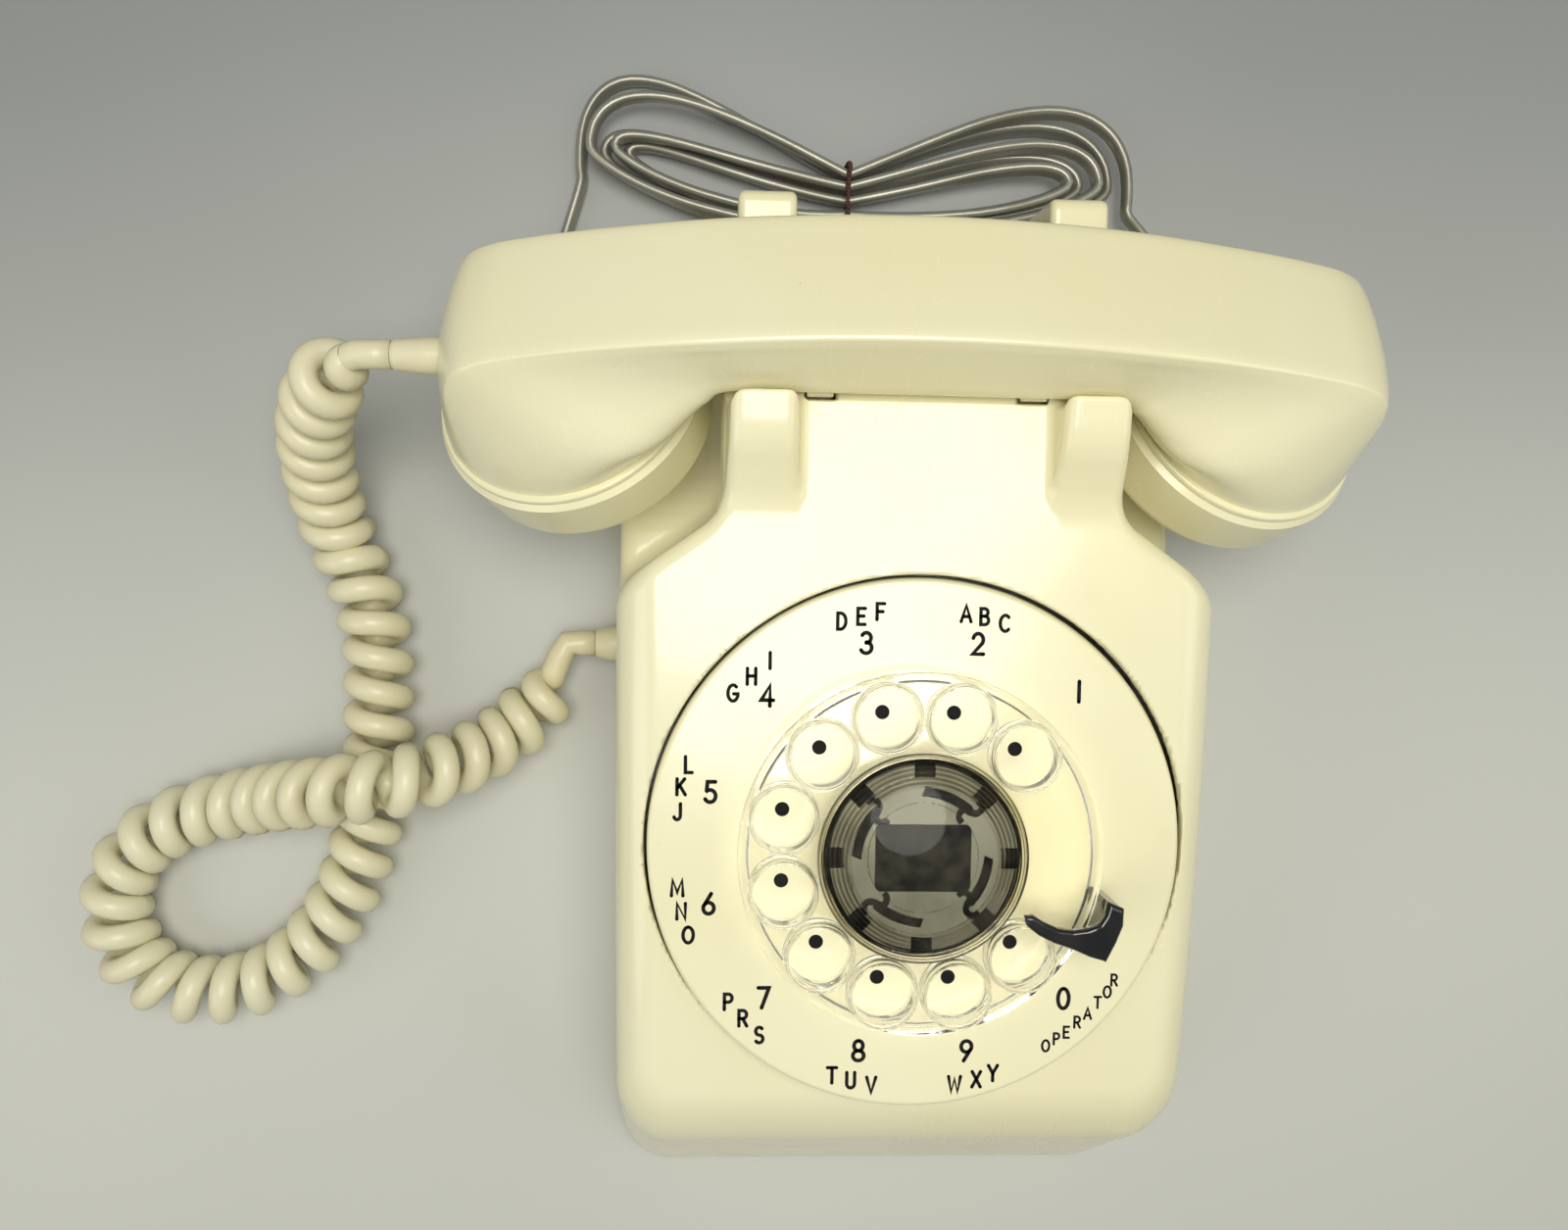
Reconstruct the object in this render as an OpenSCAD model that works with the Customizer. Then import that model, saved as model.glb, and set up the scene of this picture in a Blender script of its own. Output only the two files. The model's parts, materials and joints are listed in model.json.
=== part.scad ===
// Rotary wall telephone: moulded housing on a steel base plate, dial with clear finger
// wheel, handset across its cradle, curly handset cord and a flat line cord tied in a hank.
// X runs across the body, Y up the wall, Z out of the wall. Origin: back face, dial axis.

/* [Body] */
// Width of the body at the wall
body_w = 141; // [136:1:150]
// Dial axis down to the bottom edge, at the wall
drop_h = 105; // [102:1:112]
// Dial axis up to the top edge, at the wall
rise_h = 146; // [146:1:152]
// Height of the number plate over the wall
dial_z = 70; // [68:1:76]
// Face of the neck over the number plate
face_lift = 3.5; // [2:0.5:5]
// Gap between each side of the cradle's neck and the handset's cup
cup_side_gap = 2.75; // [2:0.25:3.25]
// Wall of the moulded housing
shell_t = 2.8; // [2.2:0.1:3.4]
// Radius of the face's long crown
crown_r = 740; // [600:10:1000]
// Height up the wall at which the crown is highest
crown_y = 72; // [64:1:80]
// Rounding of the face's edges
edge_r = 9; // [6:0.5:10]
// Draft of the side walls, degrees
side_draft = 3.5; // [2:0.5:5]
// Lean of the bottom wall, degrees
bottom_lean = 30; // [26:1:33]
// Height of the shoulder ledges beside the neck
ledge_z = 30; // [26:1:34]
// Thickness of the steel base plate
base_t = 2; // [1.5:0.1:3]
// Spacing of the two wall screws, up the wall
wall_screw_spacing = 83.3; // [80:0.1:90]
// Diameter of the wall screw holes
wall_screw_d = 5.2; // [4.2:0.1:6]

/* [Ears] */
// Width of each cradle ear
ear_w = 14; // [12:0.5:15]
// Step from the neck's side in to each front ear
ear_inset = 0.5; // [0:0.5:1.5]
// Height of the front ears over the face
ear_h = 10; // [8:0.5:12]
// Height of the rear ears over the wall
rear_ear_z = 64; // [62:0.5:66]
// Height of the wall between the rear ears
rear_rim_z = 38; // [36:1:44]

/* [Dial] */
// Diameter of the number plate
plate_d = 118.4; // [116:0.2:120]
// Diameter of the finger wheel
wheel_d = 78.5; // [76:0.5:80]
// Thickness of the finger wheel
wheel_t = 3; // [2.5:0.1:3.5]
// Radius of the circle of finger holes
hole_ring_r = 30.6; // [30:0.1:31]
// Diameter of each finger hole
hole_d = 13.4; // [12.5:0.1:13.8]
// Number of finger holes
hole_count = 10; // [8:1:10]
// Angle from one finger hole to the next, degrees
hole_step = 30; // [30:0.5:30.5]
// Angle of the first finger hole, degrees
hole_start = 45; // [40:1:48]
// Gap from the number plate to the finger wheel
wheel_gap = 7; // [6:0.5:9]
// Clearance between the clear hub dome and the finger holes' rims
dome_gap = 0.8; // [0.6:0.1:1.6]
// Diameter of the dial shaft
shaft_d = 8; // [7:0.1:8.4]
// Tooth size of the dial gears
gear_m = 0.6; // [0.58:0.01:0.62]
// Teeth of the main gear
main_teeth = 60; // [56:1:62]
// Teeth of the gear on the pulse shaft
mid_teeth = 40; // [38:1:42]
// Teeth of each pinion
pinion_teeth = 10; // [10:1:11]

/* [Handset] */
// Length of the handset over its caps
handset_len = 217.5; // [214:0.5:220]
// Diameter of the ear and mouth caps
cap_d = 63.5; // [61:0.5:64]
// Height of the caps
cap_h = 16; // [15:0.5:17]
// Tilt of each cup towards the other, degrees
cup_tilt = 15; // [13:0.5:17]
// Depth of the cups' rims below the back of the grip
cup_drop = 43.8; // [42:0.2:45]
// Width of the flat back of the grip
back_w = 31.5; // [29:0.5:32]
// Width of the grip at its widest
grip_w = 32; // [31:0.5:33]
// Thickness of the grip
grip_t = 24.3; // [23.5:0.1:25]
// Tilt of the handset in its cradle, degrees
rest_tilt = 27; // [25:0.5:28]
// Clearance between the grip and its cradle
cradle_gap = 1.1; // [0.9:0.1:1.4]

/* [Cords] */
// Diameter of the curly cord's wire
curl_wire_d = 6.2; // [5.6:0.1:6.2]
// Outer diameter of the curls
curl_d = 18; // [16:0.5:18]
// Number of curls
curls = 42; // [36:1:42]
// Width of the flat line cord
line_w = 4.8; // [4.2:0.1:5]
// Thickness of the flat line cord
line_t = 2.5; // [2.1:0.1:2.6]
// Turns of the hank
hank_turns = 4.5; // [3.5:1:4.5]

/* [Hidden] */
$fn = 96;
e = 0.01;
big = 400;
seat = 0.3;
run_fit = 0.05;

ivory = "#ece6c4";
steel = "#b9bcc0";
black = "#1b1b1d";
brass = "#b89b52";
grey = "#8f8c86";

// ---- housing values ----
face_z = dial_z + face_lift;
crown_z = face_z - crown_r;
wall_half = body_w / 2;
face_half = wall_half - face_z * tan(side_draft);
neck_w = handset_len - 2 * cap_d - 2 * cup_side_gap;
neck_half = neck_w / 2;
neck_start_y = 73.5;
shoulder_end = [62, 60];
shoulder_slope = (neck_start_y - shoulder_end[1]) / (neck_half - shoulder_end[0]);
corner_r = 13;
dial_clear = 0.8;
top_lean = 2.5;
ear_gap = neck_w - 2 * (ear_w + ear_inset);
ear_out = ear_gap / 2 + ear_w;
ear_in = ear_gap / 2;
ear_round = 2.5;

// ---- handset values ----
handset_x = -1.2;
handset_y = 120.5;
handset_z = dial_z + 18.5;
rest_yaw = -0.4;
cap_r = cap_d / 2;
rim_r = cap_r - 1.3;
neck_r = cap_r - 4;
cup_bore_r = neck_r - 2.5;
cap_skirt = 7;
cup_x = handset_len / 2 - cap_r * cos(cup_tilt);
back_r = 340;
boot_d = 8.2;
boot_len = 11.5;
boot_n = 33;

// ---- dial values ----
plate_r = plate_d / 2;
plate_t = 2;
frame_t = 2;
frame_z = dial_z - 12;
wheel_z = dial_z + wheel_gap;
wheel_top = wheel_z + wheel_t;
rim_lip = 3;
hole_r = hole_d / 2;
rim_wall = 0.6;
dome_r = hole_ring_r - hole_r - rim_wall - dome_gap;
shaft_r = shaft_d / 2;
gear_t = 3;
main_gear_z = frame_z - 6;
mid_gear_z = frame_z - 10.5;
bridge_z = frame_z - 16;
mesh_gap = 0.15;
main_r = gear_m * main_teeth / 2;
mid_r = gear_m * mid_teeth / 2;
pin_r = gear_m * pinion_teeth / 2;
pulse_dir = 240;
gov_dir = 255;
pulse_at = (main_r + pin_r + mesh_gap) * [cos(pulse_dir), sin(pulse_dir)];
gov_at = pulse_at + (mid_r + pin_r + mesh_gap) * [cos(gov_dir), sin(gov_dir)];
arbor_r = 1.5;
bridge_posts = [[-30, -14], [6, -32]];
bridge_pad = [5, -8];
cup_in_r = 9.7;
cup_wall = 1;

// ================= shared shapes =================

function lerp(a, b, t) = a + (b - a) * t;
function smooth(t) = t <= 0 ? 0 : t >= 1 ? 1 : t * t * (3 - 2 * t);

// One step of a Catmull-Rom curve through a, b, c, d, from b (t = 0) to c (t = 1)
function curve_step(a, b, c, d, t) =
    0.5 * (2 * b + (c - a) * t + (2 * a - 5 * b + 4 * c - d) * t * t
    + (3 * b - a - 3 * c + d) * t * t * t);

// A smooth curve through all of p, with n steps between neighbours
function curve_through(p, n) = concat(
    [for (i = [0 : len(p) - 2], s = [0 : n - 1])
        curve_step(p[max(i - 1, 0)], p[i], p[i + 1], p[min(i + 2, len(p) - 1)], s / n)],
    [p[len(p) - 1]]);

// Length along p up to each of its points
function run_lengths(p) = [
    for (i = 0, s = 0; i < len(p); i = i + 1,
         s = s + (i < len(p) ? norm(p[i] - p[i - 1]) : 0)) s];

function unit(v) = v / norm(v);
function tangent(p, i) = unit(p[min(i + 1, len(p) - 1)] - p[max(i - 1, 0)]);

// Triangles of a tube whose rings hold k points each
function tube_faces(rings, k) = concat(
    [[for (j = [k - 1 : -1 : 0]) j]],
    [for (i = [0 : rings - 2], j = [0 : k - 1])
        [i * k + j, i * k + (j + 1) % k, (i + 1) * k + (j + 1) % k]],
    [for (i = [0 : rings - 2], j = [0 : k - 1])
        [i * k + j, (i + 1) * k + (j + 1) % k, (i + 1) * k + j]],
    [[for (j = [0 : k - 1]) (rings - 1) * k + j]]);

module tube(rings) {
    k = len(rings[0]);
    polyhedron([for (r = rings, q = r) q], tube_faces(len(rings), k));
}

// Extrude a shape drawn in Y and Z along X, between two places
module along_x(x0, x1) {
    translate([x0, 0, 0])
        rotate([90, 0, 90])
            linear_extrude(x1 - x0)
                children();
}

module both_sides() {
    children();
    mirror([1, 0, 0]) children();
}

// A spur gear's outline, one tooth centred at angle phase
module spur(teeth, phase) {
    r = gear_m * teeth / 2;
    pitch = 360 / teeth;
    polygon([for (i = [0 : teeth - 1], q = [[-0.30, -0.9], [-0.12, 0.55], [0.12, 0.55], [0.30, -0.9]])
        (r + q[1] * gear_m) * [cos(phase + (i + q[0]) * pitch), sin(phase + (i + q[0]) * pitch)]]);
}

// ================= housing =================

// Section of the crowned body, as radius from the crown's axis against half width
module crown_section(inset) {
    round_r = max(edge_r - inset, 1);
    top = crown_r - inset;
    deep = 95;
    mid_x = face_half + (inset + round_r) * tan(side_draft) - (inset + round_r) / cos(side_draft);
    low_x = face_half + deep * tan(side_draft) - inset / cos(side_draft);
    polygon([
        [top, -mid_x], [top, mid_x],
        [top - round_r + round_r * sin(side_draft), mid_x + round_r * cos(side_draft)],
        [crown_r - deep, low_x], [crown_r - deep, -low_x],
        [top - round_r + round_r * sin(side_draft), -mid_x - round_r * cos(side_draft)]
    ]);
    for (s = [-1, 1]) translate([top - round_r, s * mid_x]) circle(round_r);
}

module crown_blank(inset) {
    translate([0, crown_y, crown_z])
        rotate([0, 90, 0])
            rotate_extrude($fn = 1440) crown_section(inset);
}

// Centre of the rounding between the face and the bottom wall
function bottom_round_at(inset, r) =
    let (n = [sin(90 - bottom_lean), -cos(90 - bottom_lean)],
         along = [sin(bottom_lean), cos(bottom_lean)],
         start = [-drop_h, 0] + n * (inset + r),
         c = [crown_y, crown_z],
         d = start - c,
         b = d * along,
         q = b * b - d * d + pow(crown_r - inset - r, 2))
    start + along * (-b + sqrt(q));

// Outline of the body seen from the side, without its cradle
module side_outline(inset) {
    r = edge_r + 3 - inset;
    at = bottom_round_at(inset, r);
    n = [sin(90 - bottom_lean), -cos(90 - bottom_lean)];
    along = [sin(bottom_lean), cos(bottom_lean)];
    away = unit(at - [crown_y, crown_z]);
    foot = at - n * r;
    top_y = rise_h - inset;
    translate(at) circle(r);
    polygon([
        foot - along * (foot[1] + 5) / along[1],
        foot, at, at + away * (r + 30),
        [top_y - 120 * tan(top_lean), 120],
        [top_y + 5 * tan(top_lean), -5]
    ]);
}

// Plan outline: straight sides with rounded corners
module plan_outline(inset) {
    half = wall_half - inset + 2;
    r = corner_r;
    for (s = [-1, 1], y = [-drop_h + inset - 1 + r, rise_h - inset - r])
        translate([s * (half - r - 2), y]) circle(r);
    translate([-half, -drop_h + inset - 1 + r])
        square([2 * half, rise_h + drop_h - 2 * inset + 1 - 2 * r]);
    translate([-half + r + 2, -drop_h + inset - 1])
        square([2 * (half - r - 2), rise_h + drop_h - 2 * inset + 1]);
}

// What the shoulders lose: beside the neck, above the ledge
module shoulder_cut(grow) {
    wide = 40;
    both_sides() intersection() {
        linear_extrude(150)
            polygon([
                [neck_half - grow, neck_start_y - grow * 0.6], [neck_half - grow, 220],
                [shoulder_end[0] + wide, 220],
                [shoulder_end[0] + wide, shoulder_end[1] + wide * shoulder_slope - grow * 1.2]
            ]);
        along_x(0, 150)
            polygon([
                [20, ledge_z + 8 - grow], [75, ledge_z - grow], [98, ledge_z / 2 - grow],
                [220, ledge_z / 2 - grow], [220, 150], [20, 150]
            ]);
    }
}

// Lower half of the grip's section, grown by gap, then drawn straight out of the cradle
module grip_path(gap) {
    half = ring_half(back_w / 2, grip_w / 2, grip_t / 2, 0);
    low = [for (i = [7 : len(half) - 1]) half[i]];
    k = (grip_w / 2 + gap) / (grip_w / 2);
    kn = (grip_t / 2 + gap) / (grip_t / 2);
    pts = concat(
        [[-low[0][0] * k, 60]],
        [for (q = low) [-q[0] * k, q[1] * kn - grip_t / 2]],
        [for (i = [len(low) - 2 : -1 : 0]) [low[i][0] * k, low[i][1] * kn - grip_t / 2]],
        [[low[0][0] * k, 60]]);
    translate([handset_y, handset_z])
        rotate(-rest_tilt)
            polygon(pts);
}

// The cradle's trough, a little wider at both ends, where the grip swells into its cups
module trough(grow) {
    flare = 2.5;
    along_x(-wall_half - 20, wall_half + 20) grip_path(cradle_gap + grow);
    both_sides() along_x(neck_half - flare, wall_half + 20) grip_path(cradle_gap + grow + 1.2);
}

// The trough and the lowered rim behind it
module cradle_cut(grow) {
    trough(grow);
    along_x(-wall_half - 20, wall_half + 20)
        translate([handset_y + 3.5, rear_rim_z - grow]) square([80, 80]);
}

// Outline of a front ear from the side: ramp, bend and nearly flat top
module front_ear_outline() {
    polygon([
        [neck_start_y + 0.5, face_z - 6], [neck_start_y + 0.5, face_z - 0.4],
        [neck_start_y + 8, face_z + ear_h * 0.42], [neck_start_y + 12.5, face_z + ear_h * 0.72],
        [neck_start_y + 16, face_z + ear_h * 0.84], [neck_start_y + 26, face_z + ear_h],
        [neck_start_y + 26, face_z - 16], [neck_start_y + 20, face_z - 16]
    ]);
}

// Section of an ear across the body: rounded upper corners
module ear_section(top) {
    translate([ear_in, -20]) square([ear_w, 20 + top - ear_round]);
    translate([ear_in + ear_round, -20]) square([ear_w - 2 * ear_round, 20 + top]);
    for (x = [ear_in + ear_round, ear_out - ear_round])
        translate([x, top - ear_round]) circle(ear_round);
}

module front_ears() {
    top_slope = atan(ear_h * 0.16 / 10);
    both_sides() intersection() {
        along_x(ear_in, ear_out) front_ear_outline();
        translate([0, neck_start_y + 26, face_z + ear_h])
            rotate([90 + top_slope, 0, 0])
                translate([0, 0, -5])
                    linear_extrude(60) ear_section(0);
    }
}

module rear_ears() {
    tab_r = 5;
    low = rear_rim_z - 6;
    y0 = handset_y + 4;
    y1 = rise_h - rear_ear_z * tan(top_lean);
    both_sides() along_x(ear_in, ear_out - 1) union() {
        translate([y0, low]) square([y1 - y0, rear_ear_z - low - tab_r]);
        translate([y0, low]) square([y1 - y0 - tab_r, rear_ear_z - low]);
        translate([y1 - tab_r, rear_ear_z - tab_r]) circle(tab_r);
    }
}

module housing_blank(inset) {
    difference() {
        intersection() {
            crown_blank(inset);
            along_x(-100, 100) side_outline(inset);
            translate([0, 0, -5]) linear_extrude(150) plan_outline(inset);
        }
        shoulder_cut(inset);
        cradle_cut(inset);
    }
}

plunger_x = ear_in - 5;
plunger_w = 6;
plunger_back_y = 93.5;
plunger_top = face_z + 1;
plunger_slack = 0.4;

module housing() {
    color(ivory) difference() {
        union() {
            difference() {
                housing_blank(0);
                difference() {
                    housing_blank(shell_t);
                    translate([0, boss_y, 0]) cylinder(h = 80, r = boss_r);
                }
            }
            difference() {
                union() {
                    front_ears();
                    rear_ears();
                }
                trough(0);
            }
        }
        translate([-big / 2, -big / 2, -big]) cube([big, big, big]);
        translate([0, boss_y, -e]) cylinder(h = base_t + seat, r = boss_r + 0.5);
        translate([0, boss_y, -e]) cylinder(h = 20, r = 2.05, $fn = 32);
        translate([0, 0, dial_z - 30]) cylinder(h = 60, r = plate_r + dial_clear);
        both_sides() translate([plunger_x - plunger_w / 2, plunger_back_y, face_z - 8])
            translate([-plunger_slack, -plunger_slack, 0])
                cube([plunger_w + 2 * plunger_slack, 20, 20]);
        translate([-wall_half - 10, cord_y, cord_z]) rotate([0, 90, 0]) cylinder(h = 20, r = bush_r + 0.1);
        translate([-wall_half - 10, line_exit_y, line_exit_z]) rotate([0, 90, 0])
            cylinder(h = 20, r = line_bush_r + 0.1);
    }
}

boss_y = -84;
boss_r = 5;

// ================= base and what it carries =================

plate_inset = shell_t + 1.8;

module base_plate() {
    color(steel) difference() {
        intersection() {
            linear_extrude(base_t) plan_outline(plate_inset + 2);
            along_x(-100, 100) side_outline(plate_inset + 0.2);
        }
        for (s = [-1, 1]) translate([0, s * wall_screw_spacing / 2, -e])
            cylinder(h = base_t + 1, r = wall_screw_d / 2);
        translate([0, boss_y, -e]) cylinder(h = base_t + 1, r = 4.1);
    }
}

module housing_screw() {
    color(steel) difference() {
        translate([0, boss_y, 0]) {
            cylinder(h = base_t, r = 4);
            cylinder(h = 18, r = 2, $fn = 32);
        }
        translate([-3, boss_y - 0.5, -e]) cube([6, 1, 1]);
    }
}

leg_x = 46;
foot_gap = 2;
module dial_brackets() {
    foot = leg_x - net_w / 2 - foot_gap;
    color(steel) both_sides() {
        translate([leg_x, -12, base_t]) cube([2, 24, frame_z - base_t]);
        translate([leg_x - foot, -12, base_t]) cube([foot + 1, 24, 2]);
        difference() {
            translate([leg_x - 10, -12, frame_z - 2]) cube([11, 24, 2]);
            for (y = [-7, 7]) translate([leg_x - 5, y, frame_z - 3]) cylinder(h = 4, r = 1.6, $fn = 32);
        }
    }
}

module dial_screws() {
    color(steel) both_sides() for (y = [-7, 7]) translate([leg_x - 5, y, 0]) {
        translate([0, 0, frame_z - 5]) cylinder(h = 5 + frame_t, r = 1.5, $fn = 32);
        translate([0, 0, frame_z + frame_t]) cylinder(h = 1.6, r = 3, $fn = 32);
    }
}

module dial_frame() {
    color(steel) difference() {
        union() {
            translate([0, 0, frame_z]) cylinder(h = frame_t, r = plate_r - 3.2);
            translate([0, 0, frame_z]) cylinder(h = 6, r = shaft_r + 3);
        }
        translate([0, 0, frame_z - e]) cylinder(h = 7, r = shaft_r + run_fit);
        for (p = [pulse_at, gov_at]) translate([p[0], p[1], frame_z - e])
            cylinder(h = frame_t + 1, r = arbor_r + run_fit, $fn = 48);
        both_sides() for (y = [-7, 7]) translate([leg_x - 5, y, frame_z - e])
            cylinder(h = frame_t + 1, r = 1.6, $fn = 32);
        for (a = [60, 120, 300, 340]) rotate(a) translate([plate_r - 15, 0, frame_z - e])
            cylinder(h = frame_t + 1, r = 5, $fn = 48);
    }
}

module gear_bridge() {
    post_r = 2;
    color(brass) difference() {
        union() {
            hull() {
                for (p = [pulse_at, gov_at]) translate([p[0], p[1], bridge_z])
                    cylinder(h = 2, r = 5, $fn = 32);
                for (p = concat(bridge_posts, [bridge_pad])) translate([p[0], p[1], bridge_z])
                    cylinder(h = 2, r = 4, $fn = 32);
            }
            for (p = bridge_posts) translate([p[0], p[1], bridge_z])
                cylinder(h = frame_z - bridge_z, r = post_r, $fn = 48);
        }
        for (p = [pulse_at, gov_at]) translate([p[0], p[1], bridge_z - e])
            cylinder(h = 3, r = arbor_r + run_fit, $fn = 48);
    }
}

module number_plate() {
    rim = 2;
    inner = 12;
    color(ivory) rotate_extrude($fn = 180) {
        translate([inner, dial_z - plate_t]) square([plate_r - rim - inner, plate_t]);
        translate([plate_r - rim, frame_z]) square([rim, dial_z - rim - frame_z]);
        intersection() {
            translate([plate_r - rim, dial_z - rim]) circle(rim);
            translate([plate_r - rim, dial_z - rim]) square(rim);
        }
        translate([plate_r - rim - 4, frame_z + frame_t])
            square([5, dial_z - plate_t - frame_z - frame_t]);
    }
}

// Curved finger stop: a root on the number plate, a step up and a hook over the wheel
stop_z = wheel_top + rim_lip + 1;
module finger_stop() {
    color(black) {
        translate([0, 0, stop_z]) linear_extrude(2.6) difference() {
            union() {
                polygon([
                    [22, -10.4], [29, -11.6], [35, -11.4], [40, -10.6], [46.5, -11.4],
                    [46.5, -25.5], [40, -25.5], [34, -20.5], [28, -17], [22, -14.8]
                ]);
                translate([22, -12.6]) circle(2.2, $fn = 48);
            }
            translate([33, -4.2]) circle(7.4, $fn = 64);
        }
        translate([0, 0, dial_z]) linear_extrude(stop_z - dial_z + 1)
            polygon([
                [41.8, -11], [46.5, -11.4], [46.5, -25.5], [40, -25.5], [38.9, -24.4], [40.8, -18]
            ]);
    }
}

module pulse_contacts() {
    color(brass) translate([pulse_at[0] + 2, pulse_at[1] + 9, bridge_z + 3]) {
        for (i = [0 : 2]) translate([-2, i * 1.6, -0.5]) cube([18, 0.4, 2]);
        translate([12, -0.6, -1]) cube([4, 5.2, 3]);
    }
}

module governor_cup() {
    color(brass) translate([gov_at[0], gov_at[1], 0]) difference() {
        translate([0, 0, frame_z - 7]) cylinder(h = 7, r = cup_in_r + cup_wall);
        translate([0, 0, frame_z - 7 - e]) cylinder(h = 6, r = cup_in_r);
        translate([0, 0, frame_z - 2]) cylinder(h = 3, r = arbor_r + 0.5, $fn = 48);
    }
}

// Flat spiral spring round the dial shaft
module return_spring() {
    turns = 4;
    steps = 24 * turns;
    wide = 0.5;
    color(steel) translate([0, 0, frame_z + frame_t + 0.5]) linear_extrude(3.2)
        polygon(concat(
            [for (i = [0 : steps]) (8 + 2.6 * i / 24) * [cos(15 * i), sin(15 * i)]],
            [for (i = [steps : -1 : 0]) (8 + wide + 2.6 * i / 24) * [cos(15 * i), sin(15 * i)]]));
}

net_w = 68;
net_l = 52;
net_h = 28;
module network_block() {
    color(grey) difference() {
        translate([-net_w / 2, -net_l / 2 - 1, base_t]) cube([net_w, net_l, net_h]);
        translate([-net_w / 2 + 3, -net_l / 2 + 2, base_t + net_h - 2]) cube([net_w - 6, net_l - 6, 3]);
    }
}

module terminal_screws() {
    color(brass) for (i = [0 : 5], s = [-1, 1])
        translate([-25 + 10 * i, s * 16 - 1, base_t + net_h - 2]) {
            cylinder(h = 2.4, r = 2.6, $fn = 32);
            translate([0, 0, 2.4]) cylinder(h = 1, r = 2, $fn = 32);
        }
}

gong_r = 18;
gong_x = 22.5;
gong_y = -66;
gong_z = 11;
gong_in = 8.8;
gong_t = 1.2;
gong_round = 26;
module ringer_frame() {
    color(steel) {
        difference() {
            translate([-44, gong_y - 4, base_t]) cube([88, 40, 1.6]);
            translate([0, -wall_screw_spacing / 2, base_t - 1]) cylinder(h = 4, r = 6);
        }
        both_sides() translate([gong_x, gong_y, base_t + 1])
            cylinder(h = gong_z + gong_in - seat - base_t - 1, r = 3, $fn = 48);
        translate([0, -52, base_t + 1]) cylinder(h = 8, r = 1.5, $fn = 48);
    }
}

module ringer_coil() {
    color("#7d5a3a") translate([12, -37, 14]) rotate([0, 90, 0]) {
        cylinder(h = 26, r = 8);
        for (z = [0, 24.5]) translate([0, 0, z]) cylinder(h = 1.5, r = 10);
    }
}

module ringer_magnet() {
    color(grey) translate([-38, -44, base_t + 1.6]) cube([24, 14, 18]);
}

module gongs() {
    color(steel) both_sides() translate([gong_x, gong_y, gong_z]) rotate_extrude() difference() {
        intersection() {
            translate([0, gong_in + gong_t - gong_round]) circle(gong_round);
            square([gong_r, 12]);
        }
        intersection() {
            translate([0, gong_in - gong_round]) circle(gong_round);
            square([gong_r - gong_t, 12]);
        }
        translate([0, 5]) square([2, 10]);
    }
}

module gong_screws() {
    color(brass) both_sides() translate([gong_x, gong_y, gong_z + gong_in + gong_t]) {
        cylinder(h = 1.6, r = 3.4, $fn = 32);
        translate([0, 0, -gong_t]) cylinder(h = gong_t, r = 1.8, $fn = 32);
    }
}

// ================= hook switch =================

bar_y = 78;
bar_z = 62;
bar_t = 4;
module plunger(side) {
    color(ivory) translate([side * plunger_x, 0, 0]) {
        translate([-plunger_w / 2, plunger_back_y, face_z - 7.5])
            cube([plunger_w, plunger_tip_y - plunger_back_y, plunger_top - face_z + 7.5]);
        translate([-plunger_w / 2, bar_y, bar_z + bar_t])
            cube([plunger_w, plunger_back_y + 1.5 - bar_y, 3]);
    }
}
plunger_tip_y = handset_y - (grip_w / 2 + cradle_gap) / cos(rest_tilt) - 4.3;

module plunger_bar() {
    color(steel) translate([-plunger_x - plunger_w / 2, bar_y, bar_z])
        cube([2 * plunger_x + plunger_w, 6, bar_t]);
}

lever_y = 72;
lever_z = 44;
module switch_lever() {
    color(steel) difference() {
        union() {
            translate([-6, lever_y, lever_z]) rotate([0, 90, 0]) cylinder(h = 12, r = 3, $fn = 48);
            translate([-6, lever_y + 1, lever_z]) cube([12, 1.5, bar_z - lever_z + 3]);
            translate([-6, lever_y + 1, bar_z + 1]) cube([12, bar_y - lever_y - 1 - seat, 1.5]);
        }
        translate([-7, lever_y, lever_z]) rotate([0, 90, 0]) cylinder(h = 14, r = 1.5 + run_fit, $fn = 48);
    }
}

module hook_bracket() {
    color(steel) {
        both_sides() translate([8, lever_y - 6, base_t]) cube([1.6, 12, lever_z - base_t + 5]);
        translate([-9.6, lever_y - 6, base_t]) cube([19.2, 18, 1.6]);
        translate([-9.6, lever_y, lever_z]) rotate([0, 90, 0]) cylinder(h = 19.2, r = 1.5, $fn = 48);
    }
}

module hook_contacts() {
    color(brass) {
        for (i = [0 : 3]) translate([-5, lever_y + 4.4 + i * 1.8, base_t + 8]) cube([10, 0.4, 30]);
        translate([-6, lever_y + 3.8, base_t + 1.6]) cube([12, 7.2, 8]);
    }
}

// ================= dial parts that turn =================

module finger_wheel() {
    r = wheel_d / 2;
    color("#e9e4c8", 0.55) difference() {
        union() {
            rotate_extrude($fn = 180) {
                translate([shaft_r, wheel_z]) square([r - 1.5 - shaft_r, wheel_t]);
                translate([r - 1.5, wheel_top - 1.5]) circle(1.5, $fn = 48);
                translate([r - 1.8, wheel_z - 1.5]) square([1.8, wheel_t]);
            }
            for (i = [0 : hole_count - 1]) rotate(hole_start + i * hole_step)
                translate([hole_ring_r, 0, wheel_z - 1.5])
                    cylinder(h = wheel_t + rim_lip + 1.5, r = hole_r + rim_wall);
        }
        for (i = [0 : hole_count - 1]) rotate(hole_start + i * hole_step)
            translate([hole_ring_r, 0, wheel_z - 5])
                cylinder(h = 20, r = hole_r);
        translate([0, 0, wheel_z - 1]) cylinder(h = 10, r = shaft_r + 0.02);
    }
}

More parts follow.
